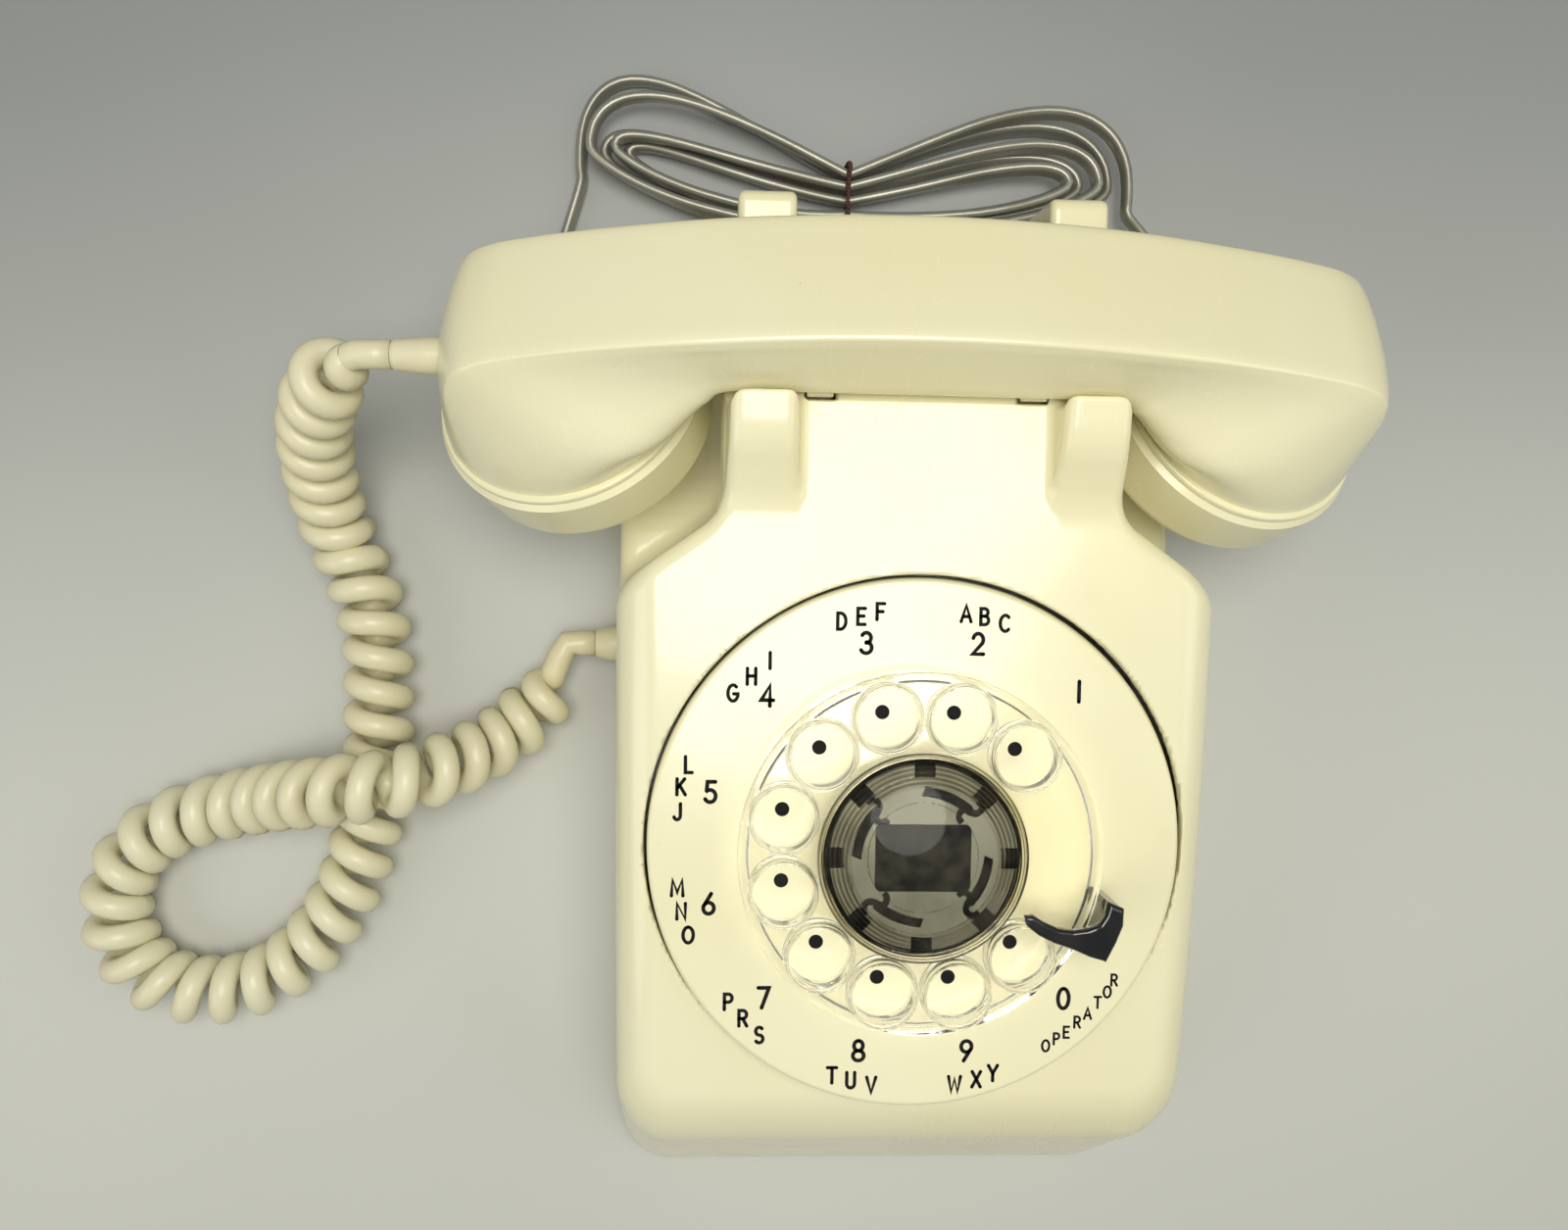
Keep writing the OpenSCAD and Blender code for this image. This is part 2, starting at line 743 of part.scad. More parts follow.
// Clear dome over the hub, with shallow rings turned in it
module hub_dome() {
    r = dome_r;
    rise = 5;
    ball_r = (r * r + rise * rise) / (2 * rise);
    color("#f0eee0", 0.5) rotate_extrude($fn = 144) difference() {
        intersection() {
            translate([0, wheel_top + 2.4 + rise - ball_r]) circle(ball_r, $fn = 360);
            translate([0, wheel_top]) square([r, 12]);
        }
        intersection() {
            translate([0, wheel_top + 1.2 + rise - ball_r]) circle(ball_r, $fn = 360);
            translate([0, wheel_top - 1]) square([r - 1.2, 12]);
        }
        for (x = [r - 3 : -3 : r - 12])
            translate([x, wheel_top + 2.4 + rise + 0.2 - x * x / (2 * ball_r)]) circle(0.5, $fn = 24);
    }
}

// Plated spider under the dome: castellated rim, curved slots and a card window
module card_retainer() {
    r = dome_r - 2.5;
    window = [20, 14];
    color(steel) translate([0, 0, wheel_top]) linear_extrude(1.2) difference() {
        circle(r);
        for (i = [0 : 7]) rotate(22.5 + 45 * i) translate([r - 2, -2.2]) square([4, 4.4]);
        for (i = [0 : 3]) rotate(45 + 90 * i) {
            translate([r - 6.5, 0]) circle(1.6, $fn = 32);
            translate([r - 8, 1.5]) circle(1.4, $fn = 32);
        }
        translate(-window / 2) square(window);
    }
    color(steel) translate([0, 0, wheel_top + e]) linear_extrude(0.6) difference() {
        square(window + [0.4, 0.4], center = true);
        circle(shaft_r + 0.1);
    }
}

module dial_shaft() {
    color(steel) {
        translate([0, 0, mid_gear_z + 4]) cylinder(h = wheel_top + 1 - mid_gear_z - 4, r = shaft_r);
        translate([0, 0, wheel_z - 2]) cylinder(h = 2, r = 11);
    }
}

module main_gear() {
    color(brass) translate([0, 0, main_gear_z]) linear_extrude(gear_t) difference() {
        spur(main_teeth, pulse_dir);
        circle(shaft_r);
        for (i = [0 : 4]) rotate(72 * i) translate([main_r * 0.62, 0]) circle(3.4, $fn = 48);
    }
}

module pulse_shaft() {
    color(steel) translate([pulse_at[0], pulse_at[1], 0]) {
        translate([0, 0, bridge_z]) cylinder(h = frame_z + frame_t - bridge_z, r = arbor_r, $fn = 48);
        translate([0, 0, main_gear_z]) linear_extrude(gear_t)
            spur(pinion_teeth, pulse_dir + 180 + 180 / pinion_teeth);
        translate([0, 0, mid_gear_z]) linear_extrude(2) spur(mid_teeth, gov_dir);
    }
}

module pulse_cam() {
    color(black) translate([pulse_at[0], pulse_at[1], bridge_z + 2.5]) linear_extrude(2.4) difference() {
        intersection() {
            circle(6);
            square([12, 7], center = true);
        }
        circle(arbor_r);
    }
}

module governor_shaft() {
    color(steel) translate([gov_at[0], gov_at[1], 0]) {
        translate([0, 0, bridge_z]) cylinder(h = frame_z + frame_t - bridge_z, r = arbor_r, $fn = 48);
        translate([0, 0, mid_gear_z - 0.4]) linear_extrude(2.8)
            spur(pinion_teeth, gov_dir + 180 + 180 / pinion_teeth);
    }
}

module governor_weights() {
    color(brass) translate([gov_at[0], gov_at[1], frame_z - 6]) linear_extrude(3.4) difference() {
        intersection() {
            circle(cup_in_r - 0.7);
            union() {
                square([30, 4], center = true);
                for (s = [-1, 1]) translate([s * 7, 0]) square([5, 11], center = true);
            }
        }
        circle(arbor_r);
    }
}

module clapper() {
    color(steel) translate([0, -52, 0]) {
        difference() {
            translate([0, 0, base_t + 5]) cylinder(h = 4, r = 3, $fn = 48);
            translate([0, 0, base_t + 4]) cylinder(h = 6, r = 1.5 + run_fit, $fn = 48);
        }
        translate([-0.8, -13, base_t + 6]) cube([1.6, 11, 1.6]);
        translate([0, gong_y + 52, base_t + 6.8]) sphere(r = 2.6);
        translate([2, -1, base_t + 6]) cube([9, 2, 2]);
    }
}

// ================= handset =================

// Half of the handset's section, from the back (p = 1) round to the front (p = -1).
// round blends it from the grip's flat-backed section to a circle.
function ring_half(a, w, h, round) =
    let (g = [
            [0, 1], [a * 0.5, 1], [a - 1.2, 0.99], [a, 1 - 1.8 / h],
            [lerp(a, w, 0.25), 0.55], [lerp(a, w, 0.55), 0.15], [lerp(a, w, 0.85), -0.2],
            [w, -0.45], [0.965 * w, -0.64], [0.85 * w, -0.80], [0.64 * w, -0.92],
            [0.34 * w, -0.985], [0, -1]],
         turn = [0, 15, 28, 38, 52, 68, 84, 98, 112, 128, 145, 162, 180])
    [for (j = [0 : 12])
        [lerp(g[j][0], w * sin(turn[j]), round), lerp(g[j][1], cos(turn[j]), round) * h]];

// Stations from mid grip to the cup's rim. Each holds: outer point as a share of the
// tip, inner point as a share of the crotch, inner drop, width growth, roundness and
// the outer point's drop towards the rim.
STATIONS = [
    [0.00, 0.00, 0.00, 0.00, 0.00, 0.00],
    [0.22, 0.42, 0.00, 0.00, 0.00, 0.00],
    [0.44, 0.81, 0.00, 0.00, 0.00, 0.00],
    [0.61, 0.88, 0.12, 0.19, 0.04, 0.00],
    [0.77, 0.94, 0.36, 0.48, 0.10, 0.00],
    [0.87, 0.975, 0.58, 0.72, 0.20, 0.02],
    [0.93, 0.99, 0.74, 0.86, 0.34, 0.12],
    [0.965, 1.00, 0.86, 0.94, 0.58, 0.34],
    [0.985, 1.00, 0.94, 0.985, 0.85, 0.64],
    [1.00, 1.00, 1.00, 1.00, 1.00, 1.00]
];
tip_x = cup_x + rim_r * cos(cup_tilt);
crotch_x = cup_x - rim_r * cos(cup_tilt);
tip_n = -cup_drop - rim_r * sin(cup_tilt);
crotch_n = -cup_drop + rim_r * sin(cup_tilt);
function back_n(x) = -x * x / (2 * back_r);

function station_ring(s, side) =
    let (ox = s[0] * tip_x,
         on = lerp(back_n(ox), tip_n, s[5]),
         ix = s[1] * crotch_x,
         inn = lerp(-grip_t, crotch_n, s[2]),
         o = [ox, on], i = [ix, inn],
         mid = (o + i) / 2, up = unit(o - i), h = norm(o - i) / 2,
         half = ring_half(back_w / 2, lerp(grip_w / 2, rim_r, s[3]), h, s[4]),
         full = concat(half, [for (j = [11 : -1 : 1]) [-half[j][0], half[j][1]]]))
    [for (q = full) [side * (mid[0] + up[0] * q[1]), q[0], mid[1] + up[1] * q[1]]];

handset_steps = 3;
handset_stations = curve_through(STATIONS, handset_steps);
handset_rings = concat(
    [for (i = [len(handset_stations) - 1 : -1 : 1]) station_ring(handset_stations[i], -1)],
    [for (s = handset_stations) station_ring(s, 1)]);

module in_handset() {
    translate([handset_x, handset_y, handset_z])
        rotate([-rest_tilt, 0, 0]) rotate([0, 0, rest_yaw]) children();
}

// Local Z points from the cap into the cup, with z = 0 at the rim
module in_cup(side) {
    in_handset() translate([side * cup_x, 0, -cup_drop]) rotate([0, side * cup_tilt, 0]) children();
}

module handset_shell() {
    color(ivory) difference() {
        union() {
            in_handset() tube(handset_rings);
            for (s = [-1, 1]) in_cup(s) translate([0, 0, -cap_skirt + 1])
                cylinder(h = cap_skirt + 1, r = neck_r);
        }
        for (s = [-1, 1]) in_cup(s) translate([0, 0, -cap_skirt - 1])
            cylinder(h = cap_skirt + 9.5, r = cup_bore_r);
        in_handset() translate([-tip_x - 5, 0, -boot_n]) rotate([0, 90, 0])
            cylinder(h = 16, r = boot_d / 2 - 1, $fn = 48);
    }
}

// A screw cap: drawn skirt, rounded edge and dished face with holes
module cap(dish, ring_holes, ring_at) {
    edge = 3;
    difference() {
        rotate_extrude($fn = 144) difference() {
            union() {
                polygon([
                    [0, -cap_h], [cap_r - edge - 1, -cap_h], [cap_r - 1, -cap_h + edge],
                    [cap_r, -1.2], [cap_r - 1.2, 0], [0, 0]
                ]);
                translate([cap_r - edge - 1, -cap_h + edge]) circle(edge, $fn = 64);
            }
            translate([-e, -cap_skirt - 0.5]) square([neck_r + 0.1, 20]);
            translate([-e, -cap_h + 3]) square([cup_bore_r - 1, 20]);
            polygon([[-e, -cap_h - 1], [cap_r - 8, -cap_h - 1], [cap_r - 8, -cap_h], [-e, -cap_h + dish]]);
        }
        translate([0, 0, -cap_h - 1]) {
            cylinder(h = 8, r = 1.3, $fn = 32);
            for (i = [0 : ring_holes - 1]) rotate(i * 360 / ring_holes) translate([ring_at, 0, 0])
                cylinder(h = 8, r = 1.3, $fn = 32);
        }
    }
}

module ear_cap() {
    color(ivory) in_cup(1) cap(1.6, 6, 6);
}

module mouth_cap() {
    color(ivory) in_cup(-1) cap(0.6, 10, 11);
}

module receiver_unit() {
    color(steel) in_cup(1) translate([0, 0, -cap_h + 3.2]) {
        cylinder(h = 9, r = cup_bore_r - 1.2);
        cylinder(h = 15, r = 12);
    }
}

module transmitter_unit() {
    color(steel) in_cup(-1) translate([0, 0, -cap_h + 3.2]) {
        cylinder(h = 7, r = cup_bore_r - 1.2);
        translate([0, 0, 7]) cylinder(h = 4, r = 10);
    }
}

module transmitter_cup() {
    color(black) in_cup(-1) difference() {
        translate([0, 0, -cap_h + 3.2 + 11.2]) cylinder(h = 8, r = cup_bore_r - 0.6);
        translate([0, 0, -cap_h + 3.2 + 11]) cylinder(h = 6, r = cup_bore_r - 3);
    }
}

// Boot where the curly cord leaves the mouth end
module handset_cord_boot() {
    color(ivory) in_handset() translate([-boot_tip_x, 0, -boot_n]) rotate([0, 90, 0]) {
        cylinder(h = boot_len, r = boot_d / 2);
        cylinder(h = boot_len + 10, r = boot_d / 2 - 1.1, $fn = 48);
    }
}
boot_tip_x = tip_x + boot_len - 3.5;

// ================= cords =================

bush_r = 4.6;
bush_out = 6;
cord_y = 39;
cord_z = 10;
line_bush_r = 3.7;
line_exit_y = 124;
line_exit_z = 6.5;

module bushing(y, z, r) {
    color(ivory) translate([-wall_half - bush_out, y, z]) rotate([0, 90, 0]) {
        cylinder(h = bush_out + shell_t + 3, r = r);
        translate([0, 0, bush_out + shell_t + 1.6]) cylinder(h = 1.4, r = r + 0.7);
    }
}

module handset_cord_bushing() {
    bushing(cord_y, cord_z, bush_r);
}

module line_cord_bushing() {
    bushing(line_exit_y, line_exit_z, line_bush_r);
}

// Middle of the curls, from the handset's boot to the housing's bushing
boot_y = -boot_tip_x * sin(rest_yaw);
boot_tip = [handset_x - boot_tip_x * cos(rest_yaw) - seat,
    handset_y + boot_y * cos(rest_tilt) - boot_n * sin(rest_tilt),
    handset_z - boot_y * sin(rest_tilt) - boot_n * cos(rest_tilt)];
CURL_ROUTE = [
    [-130.5, 103.5, 54], [-137.5, 97, 44], [-142, 88.5, 32], [-143.5, 78.5, 20.5], [-142.5, 67.5, 12],
    [-139, 58, 9.5], [-135.5, 49, 9.5], [-133.5, 40, 9.5], [-133, 30, 9.5], [-133, 20, 9.5],
    [-133, 10, 9.5], [-134, 0, 9.5], [-136, -11, 9.5], [-139.5, -23, 9.5], [-145, -34, 9.5],
    [-153, -44, 9.5], [-163, -51, 9.5], [-175, -54, 9.5], [-187, -52.5, 9.5],
    [-196, -46, 9.5], [-200.5, -36, 9.5], [-200, -25, 9.5], [-194.5, -15.5, 9.5],
    [-186, -9.5, 9.5], [-176.5, -6, 10], [-167, -3.5, 12.5], [-157.5, -1, 17],
    [-148, 1, 23], [-138, 3, 28], [-128, 4.5, 29.5], [-118.5, 6.5, 26.5],
    [-109.5, 9.5, 19.5], [-101.5, 13.5, 13], [-94.5, 19.5, 10], [-89.5, 27, 9.5]
];
bush_tip = [-wall_half - bush_out, cord_y, cord_z];
lead = curl_wire_d * 1.1;
curl_route = concat(
    [boot_tip, boot_tip + [-lead, 0, 0]], CURL_ROUTE,
    [bush_tip + [-lead - 1.5, -2.5, 0], bush_tip + [-lead, 0, 0], bush_tip]);
curl_mid = curve_through(curl_route, 6);
curl_run = run_lengths(curl_mid);
curl_total = curl_run[len(curl_run) - 1];
function at_run(s, i = 0) =
    i >= len(curl_run) - 2 || curl_run[i + 1] >= s
    ? lerp(curl_mid[i], curl_mid[i + 1], (s - curl_run[i]) / max(curl_run[i + 1] - curl_run[i], 0.001))
    : at_run(s, i + 1);

curl_in = 9.6;
curl_out = 16;
curl_per = 8;
curl_rings = curls * curl_per;
curl_r = (curl_d - curl_wire_d) / 2;
function curl_place(k) =
    let (s = lerp(curl_in, curl_total - curl_out, k / curl_rings),
         p = at_run(s),
         t = unit(at_run(min(s + 1, curl_total)) - at_run(max(s - 1, 0))),
         side = unit(cross(t, [0, 0, 1])),
         up = cross(side, t),
         grow = min(smooth(k / curl_per), smooth((curl_rings - k) / curl_per)),
         a = 360 * k / curl_per)
    p + curl_r * grow * (cos(a) * side + sin(a) * up);
curl_line = concat(
    [boot_tip, boot_tip + [-lead, 0, 0]],
    [for (k = [0 : curl_rings]) curl_place(k)],
    [at_run(curl_total - 11), bush_tip + [-lead, 0, 0], bush_tip]);
curl_gap = min([for (i = [0 : 2 : len(curl_line) - 1], j = [i + 6 : 1 : len(curl_line) - 1])
    norm(curl_line[i] - curl_line[j])]) - curl_wire_d;
echo(curly_cord_gap = curl_gap, curly_cord_low = min([for (p = curl_line) p[2]]) - curl_wire_d / 2);

module round_tube(line, d, sides) {
    tube([for (i = [0 : len(line) - 1])
        let (t = tangent(line, i),
             ref = abs(t[2]) < 0.92 ? [0, 0, 1] : [0, 1, 0],
             side = unit(cross(t, ref)), up = cross(side, t))
        [for (j = [0 : sides - 1])
            line[i] + d / 2 * (cos(360 * j / sides) * side + sin(360 * j / sides) * up)]]);
}

module handset_cord() {
    color(ivory) round_tube(curl_line, curl_wire_d, 6);
}

// Flat cord standing on its edge: a stretched section swept along a line
module flat_tube(line, sides) {
    tube([for (i = [0 : len(line) - 1])
        let (t = tangent(line, i),
             side = unit(cross(t, [0, 0, 1])), up = cross(side, t))
        [for (j = [0 : sides - 1]) line[i] + line_t / 2 * sin(360 * j / sides) * side
            + line_w / 2 * cos(360 * j / sides) * up]]);
}

// Hank: flat loops drawn in at the waist, spiralling in on one layer and out on the next
hank_mid = [-12, 154.8];
hank_low = line_w / 2 + 0.1;
hank_rise = line_w + 0.6;
hank_left = [38, 70];
hank_right = [46, 74];
hank_waist = [1.3, 8.2];
hank_far = [5, 17];
hank_near = 1.5;
hank_step = 24;
function hank_place(k, total) =
    let (t = k / total,
         a = 180 - 360 * hank_turns * t,
         out = abs(1 - 2 * t),
         c = cos(a), s = sin(a),
         reach = c < 0 ? lerp(hank_left[0], hank_left[1], out) : lerp(hank_right[0], hank_right[1], out),
         lobe = s > 0 ? lerp(hank_far[0], hank_far[1], out) : hank_near,
         x = reach * c,
         climb = smooth((t - 0.5) * 2 * hank_turns + 0.5))
    [hank_mid[0] + x,
     hank_mid[1] + s * (lerp(hank_waist[0], hank_waist[1], out) + 2 * lobe * abs(c))
         + (c < 0 ? 13 : 7) * c * c,
     hank_low + hank_rise * climb];
hank_rings = hank_step * hank_turns;
hank_loops = [for (k = [0 : hank_rings]) hank_place(k, hank_rings)];
hank_line = concat([hank_loops[0] - [0, line_w, 0]], hank_loops, [hank_loops[hank_rings] - [0, line_w, 0]]);
hank_gap = min([for (i = [0 : len(hank_line) - 1], j = [i + 12 : 1 : len(hank_line) - 1])
    let (d = hank_line[i] - hank_line[j])
    max(norm([d[0], d[1]]) - line_t, abs(d[2]) - line_w)]);
echo(hank_gap = hank_gap, hank_length = run_lengths(hank_line)[len(hank_line) - 1]);

module line_cord_hank() {
    color(grey) flat_tube(hank_line, 6);
}

hank_start = hank_line[0];
hank_end = hank_line[len(hank_line) - 1];
LINE_ROUTE = [[-86, 126.5, 4.6], [-89, 133, 2.6], [-87, 142, 2.6]];
PLUG_ROUTE = [[66, 150, 7], [74, 142, 5.6], [83, 134, 4.6], [89, 127, 4.2]];
plug_at = [90, 118, 4.2];
line_tip = [-wall_half - bush_out, line_exit_y, line_exit_z];

// A smooth route from p to q with a short straight lead at either end
function joined(p, p_way, route, q_way, q) = concat([p],
    curve_through(concat([p + p_way, p + 4 * p_way], route, [q + 4 * q_way, q + q_way]), 3), [q]);

module line_cord() {
    color(grey) {
        flat_tube(joined(line_tip, [-1, 0, 0], LINE_ROUTE, [0, -1, 0], hank_start), 8);
        flat_tube(joined(hank_end, [0, -1, 0], PLUG_ROUTE, [0, 1, 0], plug_at), 8);
    }
}

module cord_tie() {
    wide = 2.4;
    half_y = hank_waist[1] + 1.2;
    high = hank_low + hank_rise + line_w / 2 + 1.6;
    color("#5a3320") translate([hank_mid[0] - wide / 2, hank_mid[1] + 0.8, 0]) rotate([90, 0, 90])
        linear_extrude(wide) difference() {
            union() {
                translate([-half_y, 0]) square([2 * half_y, high - 2]);
                translate([-half_y + 2, 0]) square([2 * half_y - 4, high]);
                for (s = [-1, 1]) translate([s * (half_y - 2), high - 2]) circle(2, $fn = 48);
            }
            translate([-half_y + 1, -e]) square([2 * half_y - 2, high - 1]);
        }
}

module line_plug() {
    color("#cfd3d6", 0.8) translate([plug_at[0], plug_at[1], 0]) {
        translate([-5.8, -15, 0.2]) cube([11.6, 15, 8]);
        translate([-4.8, -21, 0.6]) cube([9.6, 6, 6.4]);
        translate([-3, -20, 6.4]) rotate([14, 0, 0]) cube([6, 17, 1.2]);
    }
}

base_plate();
housing();
housing_screw();
number_plate();
dial_frame();
gear_bridge();
dial_brackets();
dial_screws();
finger_stop();
pulse_contacts();
governor_cup();
return_spring();
network_block();
terminal_screws();
ringer_frame();
ringer_coil();
ringer_magnet();
gongs();
gong_screws();
hook_bracket();
hook_contacts();
handset_cord_bushing();
line_cord_bushing();
handset_cord();
line_cord();
line_cord_hank();
cord_tie();
line_plug();
finger_wheel();
hub_dome();
card_retainer();
dial_shaft();
main_gear();
pulse_shaft();
pulse_cam();
governor_shaft();
governor_weights();
plunger(-1);  // plunger_left
plunger(1);  // plunger_right
plunger_bar();
switch_lever();
clapper();
handset_shell();
ear_cap();
mouth_cap();
receiver_unit();
transmitter_unit();
transmitter_cup();
handset_cord_boot();
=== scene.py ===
# %% [markdown]
# # A rotary wall telephone
#
# This file dresses a telephone whose solids were made in CAD. The solids are the frame:
# they never move here. What the CAD can't do well, such as rounded mouldings, lettering,
# a curly cord and clear plastic, is worked out below with numpy and with shader nodes.
# Lengths in the shape functions are millimetres, and become metres when a mesh is made.

# %% Load the frame
import math

import bpy
import numpy as np
from mathutils import Matrix
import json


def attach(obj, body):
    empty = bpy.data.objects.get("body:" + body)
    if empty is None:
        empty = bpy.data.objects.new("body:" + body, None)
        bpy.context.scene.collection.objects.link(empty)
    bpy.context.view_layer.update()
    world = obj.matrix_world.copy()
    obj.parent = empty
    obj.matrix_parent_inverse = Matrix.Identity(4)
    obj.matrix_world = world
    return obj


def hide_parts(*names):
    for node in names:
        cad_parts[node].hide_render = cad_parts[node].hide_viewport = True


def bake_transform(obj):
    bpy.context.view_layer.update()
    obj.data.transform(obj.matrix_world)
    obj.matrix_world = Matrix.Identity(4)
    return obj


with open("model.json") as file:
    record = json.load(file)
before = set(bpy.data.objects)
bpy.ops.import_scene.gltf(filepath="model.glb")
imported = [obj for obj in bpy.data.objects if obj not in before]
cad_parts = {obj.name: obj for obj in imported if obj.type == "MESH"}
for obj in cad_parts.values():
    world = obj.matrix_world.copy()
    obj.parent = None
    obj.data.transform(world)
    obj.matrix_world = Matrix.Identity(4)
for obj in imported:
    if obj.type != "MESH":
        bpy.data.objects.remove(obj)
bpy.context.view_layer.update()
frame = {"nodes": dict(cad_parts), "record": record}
MM = 0.001

# %% [markdown]
# ## The camera
#
# The telephone lies on its back on a table, and is seen from above its left edge. The
# camera is placed first, because a free cord may not sprawl far outside its view. It is
# a 29 mm lens, close to the object, so the near parts loom a little.

# %% Camera
CAMERA_PLACE = (-0.042858, 0.066603, 0.346284)
CAMERA_RIGHT = (0.998804, 0.016169, 0.046143)
CAMERA_UP = (-0.013455, 0.998194, -0.058540)
CAMERA_BACK = (-0.047007, 0.057849, 0.997218)
LENS_MM = 29.25

camera_data = bpy.data.cameras.new("camera")
camera_data.lens = LENS_MM
camera_data.sensor_width = 36
camera_data.clip_start = 0.01
camera = bpy.data.objects.new("camera", camera_data)
axes = Matrix((CAMERA_RIGHT, CAMERA_UP, CAMERA_BACK)).transposed().to_4x4()
camera.matrix_world = Matrix.Translation(CAMERA_PLACE) @ axes
bpy.context.scene.collection.objects.link(camera)
bpy.context.scene.camera = camera
print("camera", CAMERA_PLACE, "lens", LENS_MM, "mm")

# %% [markdown]
# ## Making a mesh from arrays
#
# Nearly every piece below is a grid of points: one direction goes round a section and the
# other goes along it. So a few helpers do for all of them: they list the grid's faces,
# close its ends, turn points and faces into an object riding on a body of the telephone,
# and keep a turned piece's edges crisp.

# %% Helpers for meshes
FINISH_OF_SLOT = {}


def grid_faces(rows, columns):
    """Faces of a grid of rows x columns points, numbered row by row. Face (i, j) joins
    points (i, j), (i, j+1), (i+1, j+1) and (i+1, j), and the last column meets the first."""
    i = np.arange(rows - 1)[:, None] * columns
    j = np.arange(columns)[None, :]
    k = (j + 1) % columns
    return np.stack([i + j, i + k, i + columns + k, i + columns + j], -1).reshape(-1, 4)


def capped(faces, rows, columns):
    """The grid's faces, with one flat face added over its first row and one over its last."""
    last = (rows - 1) * columns
    ring = np.arange(columns)
    return faces.tolist() + [ring[::-1].tolist(), (last + ring).tolist()]


def new_piece(name, points_mm, faces, slot, body="root", nodes=(), normals=None, look=None):
    """A smooth-shaded mesh object from points in millimetres, riding on a body and
    standing for the CAD nodes that it replaces. Its look is its slot's, unless named."""
    mesh = bpy.data.meshes.new(name)
    mesh.from_pydata((np.asarray(points_mm) * MM).tolist(), [], list(map(list, faces)))
    mesh.polygons.foreach_set("use_smooth", np.ones(len(mesh.polygons), bool))
    if normals is not None:
        mesh.normals_split_custom_set_from_vertices(normals.tolist())
    mesh.update()
    piece = bpy.data.objects.new(name, mesh)
    bpy.context.scene.collection.objects.link(piece)
    if body:
        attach(piece, body)
    if nodes:
        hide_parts(*nodes)
    mesh.materials.append(FINISH_OF_SLOT[look or slot])
    print(name, len(mesh.vertices), "points,", len(mesh.polygons), "faces")
    return piece


def crease(piece, degrees=35):
    """Keeps edges sharper than this angle crisp, as on a turned or machined piece."""
    piece.data.set_sharp_from_angle(angle=math.radians(degrees))


# %% [markdown]
# ## Finishes as Python sums
#
# A material is a small program: coordinates go in, numbers are worked out, and colour,
# roughness and bumps come out. Wiring that by hand is hard to read. So a wire between
# nodes is wrapped in a class that knows how to add and multiply, and an expression on
# wires puts down the Math nodes by itself.

# %% Wires and finishes
class Wire:
    """The output of a shader node. Sums on it add Math nodes to its finish."""

    def __init__(self, finish, socket):
        self.finish, self.socket = finish, socket

    def maths(self, operation, *others):
        """A Math node with this wire as its first input."""
        values = dict(enumerate((self, *others)))
        return self.finish.node("ShaderNodeMath", {"operation": operation}, values)

    def __add__(self, other):
        return self.maths("ADD", other)

    def __mul__(self, other):
        return self.maths("MULTIPLY", other)

    def __sub__(self, other):
        return self.maths("SUBTRACT", other)

    def __rsub__(self, other):
        return self.finish.node("ShaderNodeMath", {"operation": "SUBTRACT"}, {0: other, 1: self})

    def step(self, low, high, to_low=0.0, to_high=1.0):
        """A smooth rise from to_low to to_high as this value goes from low to high."""
        inputs = {"Value": self, "From Min": low, "From Max": high, "To Min": to_low, "To Max": to_high}
        return self.finish.node("ShaderNodeMapRange", {"interpolation_type": "SMOOTHSTEP"}, inputs)


class Finish:
    """One material: a Principled surface, and what is worked out for it."""

    def __init__(self, name, **constants):
        self.material = bpy.data.materials.new(name)
        self.material.use_nodes = True
        self.tree = self.material.node_tree
        self.surface = self.tree.nodes["Principled BSDF"]
        for key, value in constants.items():
            self.surface.inputs[key.replace("_", " ")].default_value = value

    def node(self, kind, settings=None, inputs=None, output=0):
        """Adds a node and gives back one of its outputs. An input that is a wire is linked,
        and any other input is a plain value."""
        made = self.tree.nodes.new(kind)
        for key, value in (settings or {}).items():
            setattr(made, key, value)
        for key, value in (inputs or {}).items():
            if isinstance(value, Wire):
                self.tree.links.new(value.socket, made.inputs[key])
            else:
                made.inputs[key].default_value = value
        return Wire(self, made.outputs[output])

    def place(self, scale=(1, 1, 1)):
        """Object coordinates in metres, stretched along the axes."""
        at = self.node("ShaderNodeTexCoord", output=3)
        return self.node("ShaderNodeMapping", inputs={"Vector": at, "Scale": scale})

    def noise(self, scale, detail=3, at=None, **more):
        """Smooth noise between 0 and 1, with so many lumps to a unit of the coordinates,
        which are metres unless others are given."""
        inputs = {"Vector": at or self.place(), "Scale": scale, "Detail": detail}
        return self.node("ShaderNodeTexNoise", inputs={**inputs, **more})

    def mix(self, factor, first, second):
        """A colour between two colours."""
        inputs = {0: factor, 6: first, 7: second}
        return self.node("ShaderNodeMix", {"data_type": "RGBA"}, inputs, output=2)

    def feed(self, **wires):
        """Links wires to the surface's inputs, each named by its key."""
        for key, wire in wires.items():
            self.tree.links.new(wire.socket, self.surface.inputs[key.replace("_", " ")])

    def bump(self, height, strength, distance):
        """Tilts the surface's normal as if it rose by height times distance, in metres."""
        inputs = {"Height": height, "Strength": strength, "Distance": distance}
        self.feed(Normal=self.node("ShaderNodeBump", inputs=inputs))


def rgb(red, green, blue):
    return (red, green, blue, 1.0)


# %% [markdown]
# ## Ivory plastic
#
# The body, handset and number plate are one gloss moulding material. Real mouldings
# aren't flat: the gloss ripples very slightly, the colour drifts where years of light
# have yellowed it, and handling leaves fine scratches and a few dark nicks.

# %% Ivory plastic and cord vinyl
GRIME_COLOUR, NICK_COLOUR = rgb(0.42, 0.33, 0.17), rgb(0.16, 0.12, 0.07)
SCRATCH_SCALE, SCRATCH_WIDTH = 160.0, 0.0016


